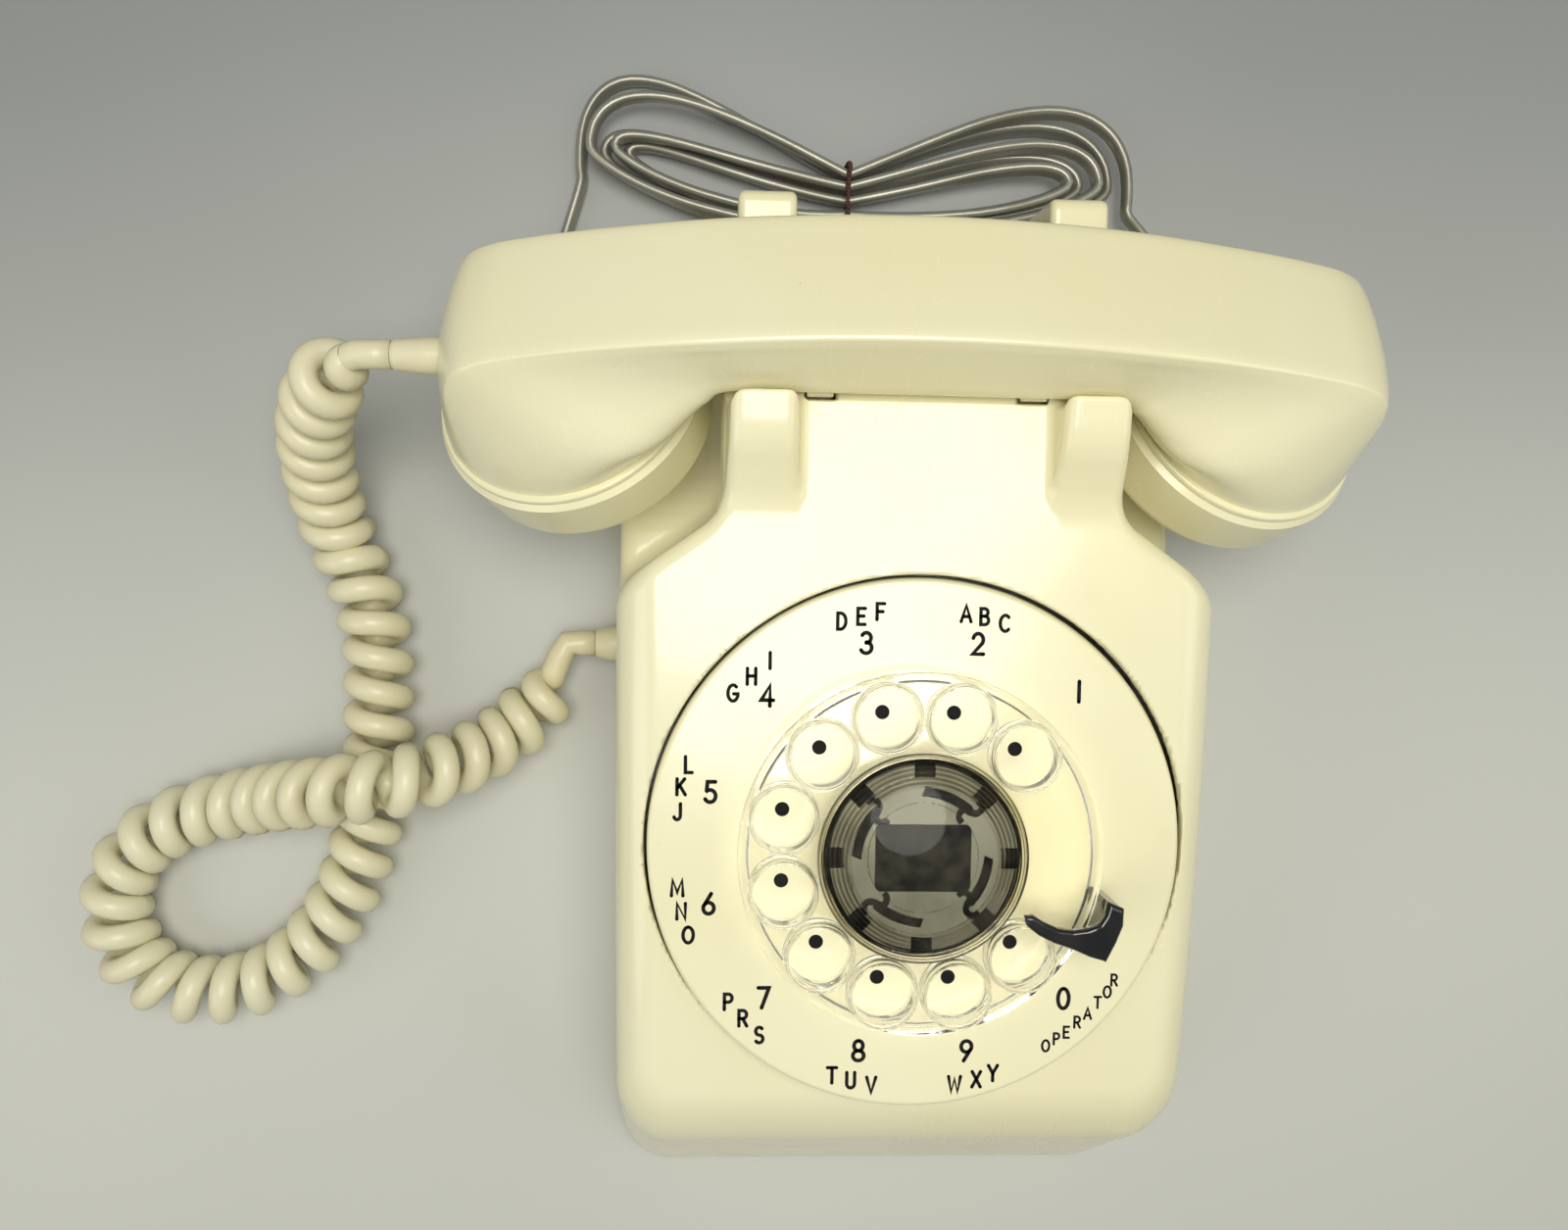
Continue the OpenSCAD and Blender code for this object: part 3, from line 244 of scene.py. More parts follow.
def fine_scratches(finish, scale, width):
    """Hairlines: a noise stretched along one axis, kept only near its middle value."""
    along = finish.place((scale, scale * 0.06, scale * 0.3))
    value = finish.noise(1.0, 1, along, Distortion=0.6)
    return 1 - (value - 0.5).maths("ABSOLUTE").step(width, width * 3)


def plastic(name, fresh, yellowed, roughness, scratch, grime):
    """Roughness = base + 0.07 smear + 0.2 scratches; height = ripple - scratches - nicks."""
    finish = Finish(name, IOR=1.5, Coat_Roughness=0.06)
    drift = finish.noise(9.0, 4).step(0.35, 0.72)
    nicks = finish.noise(210.0, 2, Distortion=1.2).step(0.79, 0.83)
    colour = finish.mix(drift * 0.75, fresh, yellowed)
    dirt = finish.noise(38.0, 5).step(0.62, 0.9) * grime
    colour = finish.mix(dirt, colour, GRIME_COLOUR)
    finish.feed(Base_Color=finish.mix(nicks * 0.55, colour, NICK_COLOUR))
    patches = finish.noise(14.0, 2).step(0.52, 0.62)
    marks = fine_scratches(finish, SCRATCH_SCALE, SCRATCH_WIDTH) * patches
    smear = finish.noise(60.0, 3).step(0.3, 0.8)
    finish.feed(Roughness=smear * 0.07 + marks * 0.2 + roughness)
    ripple = finish.noise(120.0, 2) * 0.5 + finish.noise(900.0, 2) * 0.05
    finish.bump(ripple - marks * scratch - nicks * 0.4, 0.25, 0.00012)
    return finish


ivory = plastic("ivory_plastic", rgb(0.84, 0.80, 0.54), rgb(0.81, 0.75, 0.45), 0.2, 0.3, 0.1)
ivory.surface.inputs["Coat Weight"].default_value = 0.25
vinyl = plastic("cord_ivory", rgb(0.75, 0.71, 0.49), rgb(0.69, 0.62, 0.38), 0.32, 0.1, 0.5)
FINISH_OF_SLOT["ivory_plastic"] = ivory.material
FINISH_OF_SLOT["cord_ivory"] = vinyl.material
print("finishes so far:", sorted(FINISH_OF_SLOT))

# %% [markdown]
# ## Metals, black plastic and the rest
#
# Most of these are inside the telephone and show only when it is taken apart, but each
# gets its real finish: zinc plating has a soft crystalline mottle, brass tarnishes in
# clouds, and the line cord's vinyl carries metallic grey pigment with a satin gloss.

# %% Metals and small finishes
def metal(name, bright, dull, roughness, scale=55.0):
    """Bright metal clouded with a dull one, under a fine grain drawn out along y."""
    finish = Finish(name, Metallic=1.0)
    cloud = finish.noise(scale, 5).step(0.3, 0.75)
    grain = finish.noise(700.0, 2, finish.place((1, 0.12, 1)))
    finish.feed(Base_Color=finish.mix(cloud, bright, dull))
    finish.feed(Roughness=cloud * 0.16 + grain * 0.1 + roughness)
    finish.bump(grain + cloud * 0.3, 0.2, 0.00008)
    return finish.material


def moulded(name, first, second, roughness, scale=70.0, bump=0.15, **constants):
    """Two shades in clouds, with a finish twelve times finer than the clouds on top."""
    finish = Finish(name, **constants)
    cloud = finish.noise(scale, 4).step(0.3, 0.7)
    fine = finish.noise(scale * 12, 2)
    finish.feed(Base_Color=finish.mix(cloud, first, second))
    finish.feed(Roughness=cloud * 0.1 + fine * 0.05 + roughness)
    finish.bump(fine + cloud * 0.4, bump, 0.00015)
    return finish.material


FINISH_OF_SLOT.update(
    plated_steel=metal("plated_steel", rgb(0.62, 0.62, 0.6), rgb(0.42, 0.41, 0.38), 0.22),
    brass=metal("brass", rgb(0.72, 0.55, 0.25), rgb(0.45, 0.32, 0.13), 0.24),
    black_plastic=moulded("black_plastic", rgb(0.008, 0.008, 0.009), rgb(0.014, 0.013, 0.012), 0.12,
                          Coat_Weight=0.5),
    grey_box=moulded("grey_box", rgb(0.34, 0.33, 0.31), rgb(0.28, 0.27, 0.25), 0.45),
    coil_wrap=moulded("coil_wrap", rgb(0.23, 0.12, 0.05), rgb(0.3, 0.17, 0.08), 0.5, 240.0, 0.4),
    grey_cord=moulded("grey_cord", rgb(0.33, 0.32, 0.255), rgb(0.25, 0.24, 0.185), 0.3, 45.0,
                      Metallic=0.45, Coat_Weight=0.5),
    dark_card=moulded("dark_card", rgb(0.004, 0.004, 0.004), rgb(0.035, 0.033, 0.026), 0.6, 260.0, 0.3,
                      Specular_IOR_Level=0.15),
    ink=moulded("ink", rgb(0.006, 0.006, 0.006), rgb(0.012, 0.012, 0.012), 0.7, Specular_IOR_Level=0.15),
    dull_plate=metal("dull_plate", rgb(0.2, 0.2, 0.165), rgb(0.11, 0.11, 0.085), 0.34),
    tie_brown=moulded("tie_brown", rgb(0.1, 0.035, 0.02), rgb(0.05, 0.018, 0.012), 0.6, 500.0, 0.5),
)
print("finishes so far:", sorted(FINISH_OF_SLOT))

# %% [markdown]
# ## Clear acrylic
#
# The finger wheel, the hub's dome and the line plug are clear. A clear piece is a solid
# with transmission, so its edges and hole rims bend the light as on the real wheel. Light
# that only casts its shadow goes straight through, because clear plastic hardly has one.
# The dome bends light less, so that no lamp blazes in it, and its turned rings are darker.

# %% Clear acrylic
RING_START, RING_PITCH, RING_EDGE = 0.0163, 0.00096, 0.001
RING_COLOUR = rgb(0.36, 0.33, 0.25)


def clear(name, tint, yellowed, roughness, bend=1.49, rings=False):
    """Clear plastic. Its rings are a colour that comes and goes with sin(2 pi r / pitch),
    from the radius at which they start."""
    finish = Finish(name, Transmission_Weight=1.0, IOR=bend)
    cloud = finish.noise(30.0, 3).step(0.35, 0.7)
    dust = finish.noise(420.0, 3).step(0.6, 0.8)
    colour = finish.mix(cloud, tint, yellowed)
    if rings:
        flat = finish.place((1, 1, 0))
        radius = finish.node("ShaderNodeVectorMath", {"operation": "LENGTH"}, {0: flat}, 1)
        wave = (radius * (2 * math.pi / RING_PITCH)).maths("SINE").step(-0.1, 0.8)
        ringed = radius.step(RING_START - RING_EDGE, RING_START)
        colour = finish.mix(wave * ringed, colour, RING_COLOUR)
    finish.feed(Base_Color=colour)
    finish.feed(Roughness=dust * 0.08 + roughness)
    shadow_ray = finish.node("ShaderNodeLightPath", output=1)
    through = finish.node("ShaderNodeBsdfTransparent", inputs={"Color": tint})
    both = finish.node("ShaderNodeMixShader", inputs={0: shadow_ray})
    links, mixer = finish.tree.links, both.socket.node
    links.new(finish.surface.outputs[0], mixer.inputs[1])
    links.new(through.socket, mixer.inputs[2])
    links.new(mixer.outputs[0], finish.tree.nodes["Material Output"].inputs["Surface"])
    return finish.material


FINISH_OF_SLOT.update(
    clear_acrylic=clear("clear_acrylic", rgb(0.9, 0.895, 0.87), rgb(0.88, 0.87, 0.83), 0.03),
    clear_dome=clear("clear_dome", rgb(0.83, 0.82, 0.77), rgb(0.77, 0.76, 0.69), 0.05, 1.15, rings=True),
    clear_plug=clear("clear_plug", rgb(0.93, 0.95, 0.96), rgb(0.9, 0.92, 0.93), 0.08),
)

for row in frame["record"]["subparts"]:
    materials = frame["nodes"][row["node"]].data.materials
    materials.clear()
    materials.append(FINISH_OF_SLOT[row["material_slot"]])
print("finished", len(frame["nodes"]), "CAD nodes")

# %% [markdown]
# ## Lines and tubes
#
# Every cord is a section carried along a line. The line is a smooth curve through a few
# chosen points, as a cord is nudged into place by hand, and each ring of the tube stands
# square to the line with its top kept upward, so that a flat cord doesn't twist by itself.

# %% Helpers for lines and tubes
def smooth_line(points, steps):
    """A Catmull-Rom curve: between b and c, with neighbours a and d, the point at t is
    half of 2b + (c - a)t + (2a - 5b + 4c - d)t^2 + (3b - a - 3c + d)t^3."""
    p = np.asarray(points, float)
    a, b, c, d = (p[np.clip(np.arange(len(p) - 1) + k, 0, len(p) - 1)][:, None] for k in (-1, 0, 1, 2))
    t = (np.arange(steps) / steps)[None, :, None]
    curve = 2 * b + (c - a) * t + (2 * a - 5 * b + 4 * c - d) * t**2 + (3 * b - a - 3 * c + d) * t**3
    return np.vstack([0.5 * curve.reshape(-1, p.shape[1]), p[-1:]])


def run_of(line):
    """Length along the line up to each of its points."""
    return np.concatenate([[0], np.cumsum(np.linalg.norm(np.diff(line, axis=0), axis=1))])


def at_run(line, lengths):
    """The points of a line at given lengths along it."""
    run = run_of(line)
    return np.stack([np.interp(lengths, run, line[:, k]) for k in range(line.shape[1])], 1)


def unit(v):
    """The same direction with a length of 1."""
    return v / np.linalg.norm(v, axis=-1, keepdims=True)


def frames_along(line, roll=0.0):
    """At each point: the direction sideways and the direction upward, both square to the
    line, turned about it by roll."""
    ahead = unit(np.gradient(line, axis=0))
    side = unit(np.cross(ahead, (0, 0, 1)))
    up = np.cross(side, ahead)
    c, s = (np.broadcast_to(f(roll), len(line))[:, None] for f in (np.cos, np.sin))
    return side * c + up * s, up * c - side * s


def tube(line, across, upward, roll=0.0):
    """Rings of a tube: point j of ring i is line[i] + across[j] side + upward[j] up."""
    side, up = frames_along(line, roll)
    rings = line[:, None] + across[None, :, None] * side[:, None] + upward[None, :, None] * up[:, None]
    faces = capped(grid_faces(len(line), len(across)), len(line), len(across))
    return rings.reshape(-1, 3), faces


def round_section(diameter, sides):
    """A circle's points, (d/2 cos a, d/2 sin a)."""
    angle = np.arange(sides) / sides * 2 * np.pi
    return np.cos(angle) * diameter / 2, np.sin(angle) * diameter / 2


# %% [markdown]
# ## The curly handset cord
#
# A retractile cord is a straight vinyl cord wound hard on a rod and heated, so it keeps
# its curls. Its line is a helix whose axis follows the route of the whole cord: out of
# the handset's boot, down to the table, round a loop, over itself and into the housing.
# The curls open out to a straight lead at both ends.

# %% Curly cord
WIRE_D, CURL_D, CURLS, PER_CURL = 6.6, 18.2, 45, 26
# the route's length before the first curl and after the last, and a point on the latter
BEFORE_CURLS, AFTER_CURLS, LEAD_POINT = 9.6, 16.0, 11.0
HANDSET_END, HOUSING_END = (-116.99, 106.24, 58.73), (-76.5, 39.0, 10.0)
CURL_ROUTE = [
    (-130.5, 103.5, 54), (-137.5, 97, 44), (-142, 88.5, 32), (-143.5, 78.5, 20.5), (-142.5, 67.5, 12),
    (-139, 58, 9.5), (-135.5, 49, 9.5), (-133.5, 40, 9.5), (-133, 30, 9.5), (-133, 20, 9.5),
    (-133, 10, 9.5), (-134, 0, 9.5), (-136, -11, 9.5), (-139.5, -23, 9.5), (-145, -34, 9.5),
    (-153, -44, 9.5), (-163, -51, 9.5), (-175, -54, 9.5), (-187, -52.5, 9.5), (-196, -46, 9.5),
    (-200.5, -36, 9.5), (-200, -25, 9.5), (-194.5, -15.5, 9.5), (-186, -9.5, 9.5), (-176.5, -6, 10),
    (-167, -3.5, 12.5), (-157.5, -1, 17), (-148, 1, 23), (-138, 3, 28), (-128, 4.5, 29.5),
    (-118.5, 6.5, 26.5), (-109.5, 9.5, 19.5), (-101.5, 13.5, 13), (-94.5, 19.5, 10), (-89.5, 27, 9.5),
]


def curly_line():
    """A helix round the route: middle(s) + r grow (side cos a + up sin a), with a turning
    once a curl, and grow rising smoothly from 0 to 1 over the first and last curl."""
    start, end = np.array(HANDSET_END), np.array(HOUSING_END)
    lead = np.array((WIRE_D * 1.1, 0, 0))
    corners = [start, start - lead, *CURL_ROUTE, end - lead - (1.5, 2.5, 0), end - lead, end]
    route = smooth_line(corners, 12)
    total = run_of(route)[-1]
    share = np.linspace(0, 1, CURLS * PER_CURL + 1)
    middle = at_run(route, BEFORE_CURLS + share * (total - BEFORE_CURLS - AFTER_CURLS))
    side, up = frames_along(middle)
    turn = share * CURLS * 2 * np.pi
    edge = np.clip(np.minimum(share, 1 - share) * CURLS, 0, 1)
    reach = (CURL_D - WIRE_D) / 2 * edge**2 * (3 - 2 * edge)
    helix = middle + reach[:, None] * (np.cos(turn)[:, None] * side + np.sin(turn)[:, None] * up)
    lead_out = [start, start - lead * 0.5, start - lead]
    lead_in = [end - lead, end - lead * 0.5, end]
    return np.vstack([lead_out, helix, at_run(route, [total - LEAD_POINT]), lead_in]), total


curl_line, curl_run = curly_line()
points, faces = tube(curl_line, *round_section(WIRE_D, 14))
curly_cord = new_piece("curly_cord", points, faces, "cord_ivory", body=None, nodes=["handset_cord"])
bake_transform(curly_cord)

# %% [markdown]
# ## The flat line cord, tied in a hank
#
# The line cord is flat, about twice as wide as thick, and stands on its edge when it is
# folded back and forth. Its hank is a bow: loops that swell to both sides and are drawn
# in at the waist, where a twisted wire holds them. One spiral gives all of the loops.

# %% Line cord
CORD_W, CORD_T, CORD_RINGS, HANK_TURNS = 4.8, 2.5, 900, 4.5
HANK_MID, HANK_LOW, HANK_RISE = (-12.0, 154.8), CORD_W / 2 + 0.15, CORD_W + 0.6
LINE_END, PLUG_END = (-76.5, 124.0, 6.5), (90.0, 118.0, 4.2)
LINE_ROUTE = [(-78.5, 124, 6.5), (-80.5, 124, 6.5), (-86, 126.5, 4.6), (-89, 133, 2.7), (-87, 142, 2.6)]
PLUG_ROUTE = [(66, 150, 7), (74, 142, 5.6), (83, 134, 4.6), (89, 127, 4.3), (90, 122, 4.2)]
# half a loop's reach, the hank's half height at its waist, and how much the outer loops add
LOOP_REACH, WAIST, WAIST_MORE = 56, 1.3, 6.9
# the cord's lean in radians, the length over which its wave turns by a radian, where it
# starts beside the waist and how soon it is full, over what length it fades at the cord's
# ends, and how much it raises the cord
LEAN, LEAN_WAVE, LEAN_FROM, LEAN_OVER, LEAN_ENDS, LEAN_RAISE = 0.30, 21.0, 14, 20, 60, 1.2


def hank_line(steps):
    """A spiral of loops: x follows cos a, times a reach that is long for the outer loops;
    y follows sin a, times a height that is small at the waist and grows with |cos a|, and
    both sides of the bow bend up by cos^2 a. The loops spiral in on the table, and out
    again one cord's width higher. The left loops are those with cos a < 0."""
    t = np.linspace(0, 1, int(steps * HANK_TURNS) + 1)
    a = np.pi - 2 * np.pi * HANK_TURNS * t
    out, c, s = abs(1 - 2 * t), np.cos(a), np.sin(a)
    reach = LOOP_REACH + np.where(c < 0, 14, 18) * out
    lobe = np.where(s < 0, 1.5, np.where(c < 0, 4 + 18 * out**3, 5 + 12 * out**1.5))
    climb = np.clip((t - 0.5) * 2 * HANK_TURNS + 0.5, 0, 1)
    x = HANK_MID[0] + reach * c
    bend = np.where(c < 0, 13, 7) * c * c
    y = HANK_MID[1] + s * (WAIST + WAIST_MORE * out + 2 * lobe * abs(c)) + bend
    return np.stack([x, y, HANK_LOW + HANK_RISE * climb**2 * (3 - 2 * climb)], 1)


def flat_section(width, thick, sides=20):
    """A flat cord's section, (t/2 |sin a|^0.7, w/2 |cos a|^0.8) with the signs of sin and
    cos, and a shallow groove down the middle of each flat side."""
    angle = np.arange(sides) / sides * 2 * np.pi
    s, c = np.sin(angle), np.cos(angle)
    groove = 1 - 0.16 * np.exp(-((c / 0.25) ** 2))
    return thick / 2 * np.sign(s) * abs(s) ** 0.7 * groove, width / 2 * np.sign(c) * abs(c) ** 0.8


hank = hank_line(72)
first, last = (hank[k] - (0, CORD_W, 0) for k in (0, -1))
way_in = smooth_line([LINE_END, *LINE_ROUTE, first - (0, 4, 0), first], 10)
way_out = smooth_line([last, last - (0, 3, 0), *PLUG_ROUTE, PLUG_END], 10)
cord_line = np.vstack([way_in, hank, way_out])
cord_line = at_run(cord_line, np.linspace(0, run_of(cord_line)[-1], CORD_RINGS))
cord_x, cord_run = cord_line[:, 0], run_of(cord_line)
lean = LEAN * np.sin(cord_x / LEAN_WAVE) * np.clip((abs(cord_x - HANK_MID[0]) - LEAN_FROM) / LEAN_OVER, 0, 1)
lean *= np.clip(cord_run / LEAN_ENDS, 0, 1) * np.clip(cord_run[::-1] / LEAN_ENDS, 0, 1)
raised = cord_line + np.outer(abs(lean) * LEAN_RAISE, (0, 0, 1))
points, faces = tube(raised, *flat_section(CORD_W, CORD_T), lean)
line_cord = new_piece("flat_line_cord", points, faces, "grey_cord", nodes=["line_cord", "line_cord_hank"])

# %% [markdown]
# ## Mouldings from a distance field
#
# A moulded housing has no sharp edges: walls, ledges and ears all run into each other
# with fillets. That is hard to model face by face and easy as a field, a number for each
# point of space that is negative inside the plastic. Two fields join or cut each other
# with a rounding of a chosen radius, and the surface is found where the field is zero.

# %% Fields and their surface
def rounded_and(a, b, radius):
    """Inside both a and b. Near their common edge the distance is measured from an arc:
    min(max(a, b), -r) + length(max(a + r, 0), max(b + r, 0))."""
    corner = np.hypot(np.maximum(a + radius, 0), np.maximum(b + radius, 0))
    return np.minimum(np.maximum(a, b), -radius) + corner


def rounded_or(a, b, radius):
    """Inside a or b, with a fillet of that radius in the corner between them."""
    return -rounded_and(-a, -b, radius)


def surface_net(field, low, high, step):
    """Surface nets: each grid cell that the surface passes through gets one point, the mean
    of the surface's crossings with the cell's edges, and each crossed edge gets one face
    joining the four cells round it."""
    shape = np.ceil((np.array(high) - low) / step).astype(int) + 1
    axes = [np.float32(low[k]) + np.float32(step) * np.arange(shape[k], dtype=np.float32) for k in range(3)]
    value = field(axes[0][:, None, None], axes[1][None, :, None], axes[2][None, None, :])
    total, count, crossings = np.zeros((value.size, 3)), np.zeros(value.size), []
    strides = np.array([shape[1] * shape[2], shape[2], 1])
    for axis in range(3):
        near = np.take(value, np.arange(shape[axis] - 1), axis)
        far = np.take(value, np.arange(1, shape[axis]), axis)
        index = np.argwhere((near < 0) != (far < 0))
        v0, v1 = near[tuple(index.T)], far[tuple(index.T)]
        where = index.astype(float)
        where[:, axis] += v0 / (v0 - v1)
        u, v = (axis + 1) % 3, (axis + 2) % 3
        base = index @ strides
        cells = [base, base - strides[u], base - strides[u] - strides[v], base - strides[v]]
        for cell in cells:
            for k in range(3):
                total[:, k] += np.bincount(cell, where[:, k], value.size)
            count += np.bincount(cell, minlength=value.size)
        crossings.append(np.where((v0 < 0)[:, None], np.stack(cells, 1), np.stack(cells[::-1], 1)))
    used = np.flatnonzero(count)
    number = np.zeros(value.size, int)
    number[used] = np.arange(len(used))
    points = total[used] / count[used, None] * step + low
    return points, number[np.vstack(crossings)]


def settled(points, field, steps=4, reach=0.05, flattest=0.2, furthest=0.4):
    """Moves points onto the field's zero along its slope g, by -f g / |g|^2 and at most so
    far a step, and returns them with g / |g|, which is the surface's exact normal."""
    for _ in range(steps + 1):
        rises = [field(*(points + d).T) - field(*(points - d).T) for d in np.eye(3) * reach]
        slope = np.stack(rises, 1) / (2 * reach)
        steep = np.maximum(np.linalg.norm(slope, axis=1, keepdims=True), flattest)
        move = -field(*points.T)[:, None] * slope / steep**2
        last, points = points, points + np.clip(move, -furthest, furthest)
    return last, slope / steep


def thinned(points, faces, share):
    """The same surface with a share of its triangles, chosen by a Decimate modifier."""
    mesh = bpy.data.meshes.new("thinning")
    mesh.from_pydata(points.tolist(), [], faces.tolist())
    worker = bpy.data.objects.new("thinning", mesh)
    bpy.context.scene.collection.objects.link(worker)
    worker.modifiers.new("thin", "DECIMATE").ratio = share
    small = bpy.data.meshes.new_from_object(worker.evaluated_get(bpy.context.evaluated_depsgraph_get()))
    kept = np.zeros(len(small.vertices) * 3)
    small.vertices.foreach_get("co", kept)
    triangles = [tuple(polygon.vertices) for polygon in small.polygons]
    bpy.data.objects.remove(worker)
    for done in (mesh, small):
        bpy.data.meshes.remove(done)
    return kept.reshape(-1, 3), triangles


def moulding(name, field, low, high, step, share, slot, body="root", nodes=(), look=None):
    """A piece whose surface is where the field is zero."""
    points, faces = thinned(*surface_net(field, np.array(low, float), high, step), share)
    points, normals = settled(points, field)
    return new_piece(name, points, faces, slot, body, nodes, normals, look)


# %% [markdown]
# ## The housing
#
# The body is a drafted box under a face with a long crown. Beside the cradle its
# shoulders are cut down to a ledge, two ears stand in front of the handset's grip and two
# behind it, and the grip lies in a trough between them. Each is a short formula on x, y
# and z, and they are joined in the order in which a mould maker would cut them.

# %% Housing field
FACE_Z, CROWN_R, CROWN_Y, WALL_HALF, DRAFT = 73.5, 740.0, 72.0, 70.5, math.radians(3.5)
DROP, RISE, BOTTOM_LEAN, TOP_LEAN = 105.0, 146.0, math.radians(30), math.radians(2.5)
NECK_HALF, NECK_Y, SHELL_T, HOLE_R = 42.5, 73.5, 2.8, 59.9
REST_TILT, HANDSET_Y, HANDSET_Z = math.radians(27), 120.5, 88.5
# roundings of the walls' corners, the face's edge, the shoulder's bend and the ledge
CORNER_R, FACE_EDGE_R, BEND_R, LEDGE_R = 13.0, 9.0, 5.0, 4.0
LEDGE_Y, LEDGE_Z = [20, 75, 98, 220], [38, 30, 15, 15]
# the trough's half width, depth, power and how far under the handset's axis it starts;
# where it begins to flare, over what length, and by how much
TROUGH_WIDE, TROUGH_DEEP, TROUGH_POWER, TROUGH_TOP = 17.2, 7.9, 2.4, 17.6
FLARE_X, FLARE_OVER, FLARE = 38.0, 4.5, 1.2
EAR_X, EAR_HALF, EAR_DRAFT, EAR_FOOT, EAR_Y, EAR_REACH = 35.0, 7.9, 0.105, 62.0, 88.0, 20.0
EAR_TOP_Y = [66, 73, 81.5, 86, 89.5, 98.5, 101, 106]
EAR_TOP_Z = [70, 72.5, 77.5, 80.6, 81.9, 83.5, 81.5, 74]
REAR_X, REAR_HALF, REAR_TOP, REAR_FOOT = 34.5, 6.5, 64.0, 30.0
REAR_CUT_Y, REAR_CUT_Z = 124.0, 38.0
PLUNGER_X, SLOT_Y, SLOT_FOOT, SLOT_HALF_X, SLOT_HALF_Y = 23.0, 100.5, 64.5, 3.35, 3.55
CURLY_HOLE_R, FLAT_HOLE_R, HOLES_TO_X = 4.7, 3.8, -60.0
# the direction square to the shoulder's slant
SHOULDER_X, SHOULDER_Y = 0.579, 0.815


def eased(x, xs, ys, soft):
    """A polyline's height with its corners softened: the mean of five nearby heights."""
    return sum(np.interp(x + soft * k, xs, ys) for k in (-1, -0.5, 0, 0.5, 1)) / 5


def grip_trough(y, z):
    """Distance to the handset's grip plus its clearance: straight sides that close in a
    rounded floor, (|u|/w)^p + (depth/d)^p = 1, drawn out along the tilted direction n."""
    c, s = math.cos(REST_TILT), math.sin(REST_TILT)
    u, n = (y - HANDSET_Y) * c - (z - HANDSET_Z) * s, (y - HANDSET_Y) * s + (z - HANDSET_Z) * c
    wide, deep, p = TROUGH_WIDE, TROUGH_DEEP, TROUGH_POWER
    a, b = abs(u) / wide + 1e-6, np.maximum(-n - TROUGH_TOP, 0) / deep
    size = (a**p + b**p) ** (1 / p)
    return (size - 1) / np.hypot((a / size) ** (p - 1) / wide, (b / size) ** (p - 1) / deep)


def body_field(x, y, z):
    """The drafted and crowned box, less its shoulders: the cradle's neck and the ledge
    beside it are what the shoulder cut leaves. The crown is where rho, the distance from
    an axis along x, is R. The side walls stand further out by tan(draft) for each mm
    below it."""
    rho = np.hypot(y - CROWN_Y, z - FACE_Z + CROWN_R)
    foot = abs(x) - WALL_HALF + FACE_Z * math.tan(DRAFT)
    side = (foot - (CROWN_R - rho) * math.tan(DRAFT)) * math.cos(DRAFT)
    top = (y - RISE + z * math.tan(TOP_LEAN)) * math.cos(TOP_LEAN)
    bottom = z * math.sin(BOTTOM_LEAN) - (y + DROP) * math.cos(BOTTOM_LEAN)
    walls = rounded_and(rounded_and(side, top, CORNER_R), bottom, CORNER_R)
    box = rounded_and(walls, rho - CROWN_R, FACE_EDGE_R)
    slope = (abs(x) - NECK_HALF) * SHOULDER_X + (y - NECK_Y) * SHOULDER_Y
    kept = rounded_or(slope, abs(x) - NECK_HALF, BEND_R)
    ledge = (z - eased(y, LEDGE_Y, LEDGE_Z, 6.0)) * 0.92
    return rounded_and(box, rounded_or(kept, ledge, LEDGE_R), LEDGE_R)


def front_ear_field(x, y, z):
    """Two drafted blades whose tops climb from the face in a ramp, bend and run on flat."""
    top = eased(y, EAR_TOP_Y, EAR_TOP_Z, 1.6)
    side = abs(abs(x) - EAR_X) - EAR_HALF + (z - FACE_Z) * EAR_DRAFT
    ear = rounded_and((z - top) * 0.9, side, 2.2)
    return np.maximum(ear, np.maximum(EAR_FOOT - z, abs(y - EAR_Y) - EAR_REACH))


def rear_ear_field(x, y, z):
    """Two posts behind the grip, flush with the housing's leaning back wall."""
    back = (y - RISE + z * math.tan(TOP_LEAN)) * math.cos(TOP_LEAN)
    ear = rounded_and(rounded_and(z - REAR_TOP, back, 2.4), abs(abs(x) - REAR_X) - REAR_HALF, 1.5)
    return np.maximum(ear, np.maximum(REAR_CUT_Y + 0.5 - y, REAR_FOOT - z))


def housing_field(x, y, z):
    """The whole moulding. Outside it is (body and not rear cut) or ears, less trough and
    dial hole; its cavity is the body without its ears, drawn in by the wall's thickness."""
    rear_cut = rounded_and(REAR_CUT_Y - y, REAR_CUT_Z - z, 2.0)
    trough = grip_trough(y, z) - FLARE * np.clip((abs(x) - FLARE_X) / FLARE_OVER, 0, 1) ** 2
    outer = body_field(x, y, z)
    cavity = np.maximum(outer, -np.minimum(trough, rear_cut)) + SHELL_T
    outer = rounded_or(outer, front_ear_field(x, y, z), 2.0)
    outer = rounded_or(rounded_and(outer, -rear_cut, 2.0), rear_ear_field(x, y, z), 0.5)
    outer = rounded_and(outer, -trough, 1.4)
    outer = rounded_and(outer, HOLE_R - np.hypot(x, y), 0.4)
    slot = np.maximum(abs(y - SLOT_Y) - SLOT_HALF_Y, SLOT_FOOT - z)
    slot = np.maximum(abs(abs(x) - PLUNGER_X) - SLOT_HALF_X, slot)
    curly_hole = np.hypot(y - HOUSING_END[1], z - HOUSING_END[2]) - CURLY_HOLE_R
    flat_hole = np.hypot(y - LINE_END[1], z - LINE_END[2]) - FLAT_HOLE_R
    bushings = np.maximum(np.minimum(curly_hole, flat_hole), x - HOLES_TO_X)
    return np.maximum(np.maximum(np.maximum(outer, -cavity), -np.minimum(slot, bushings)), -z)


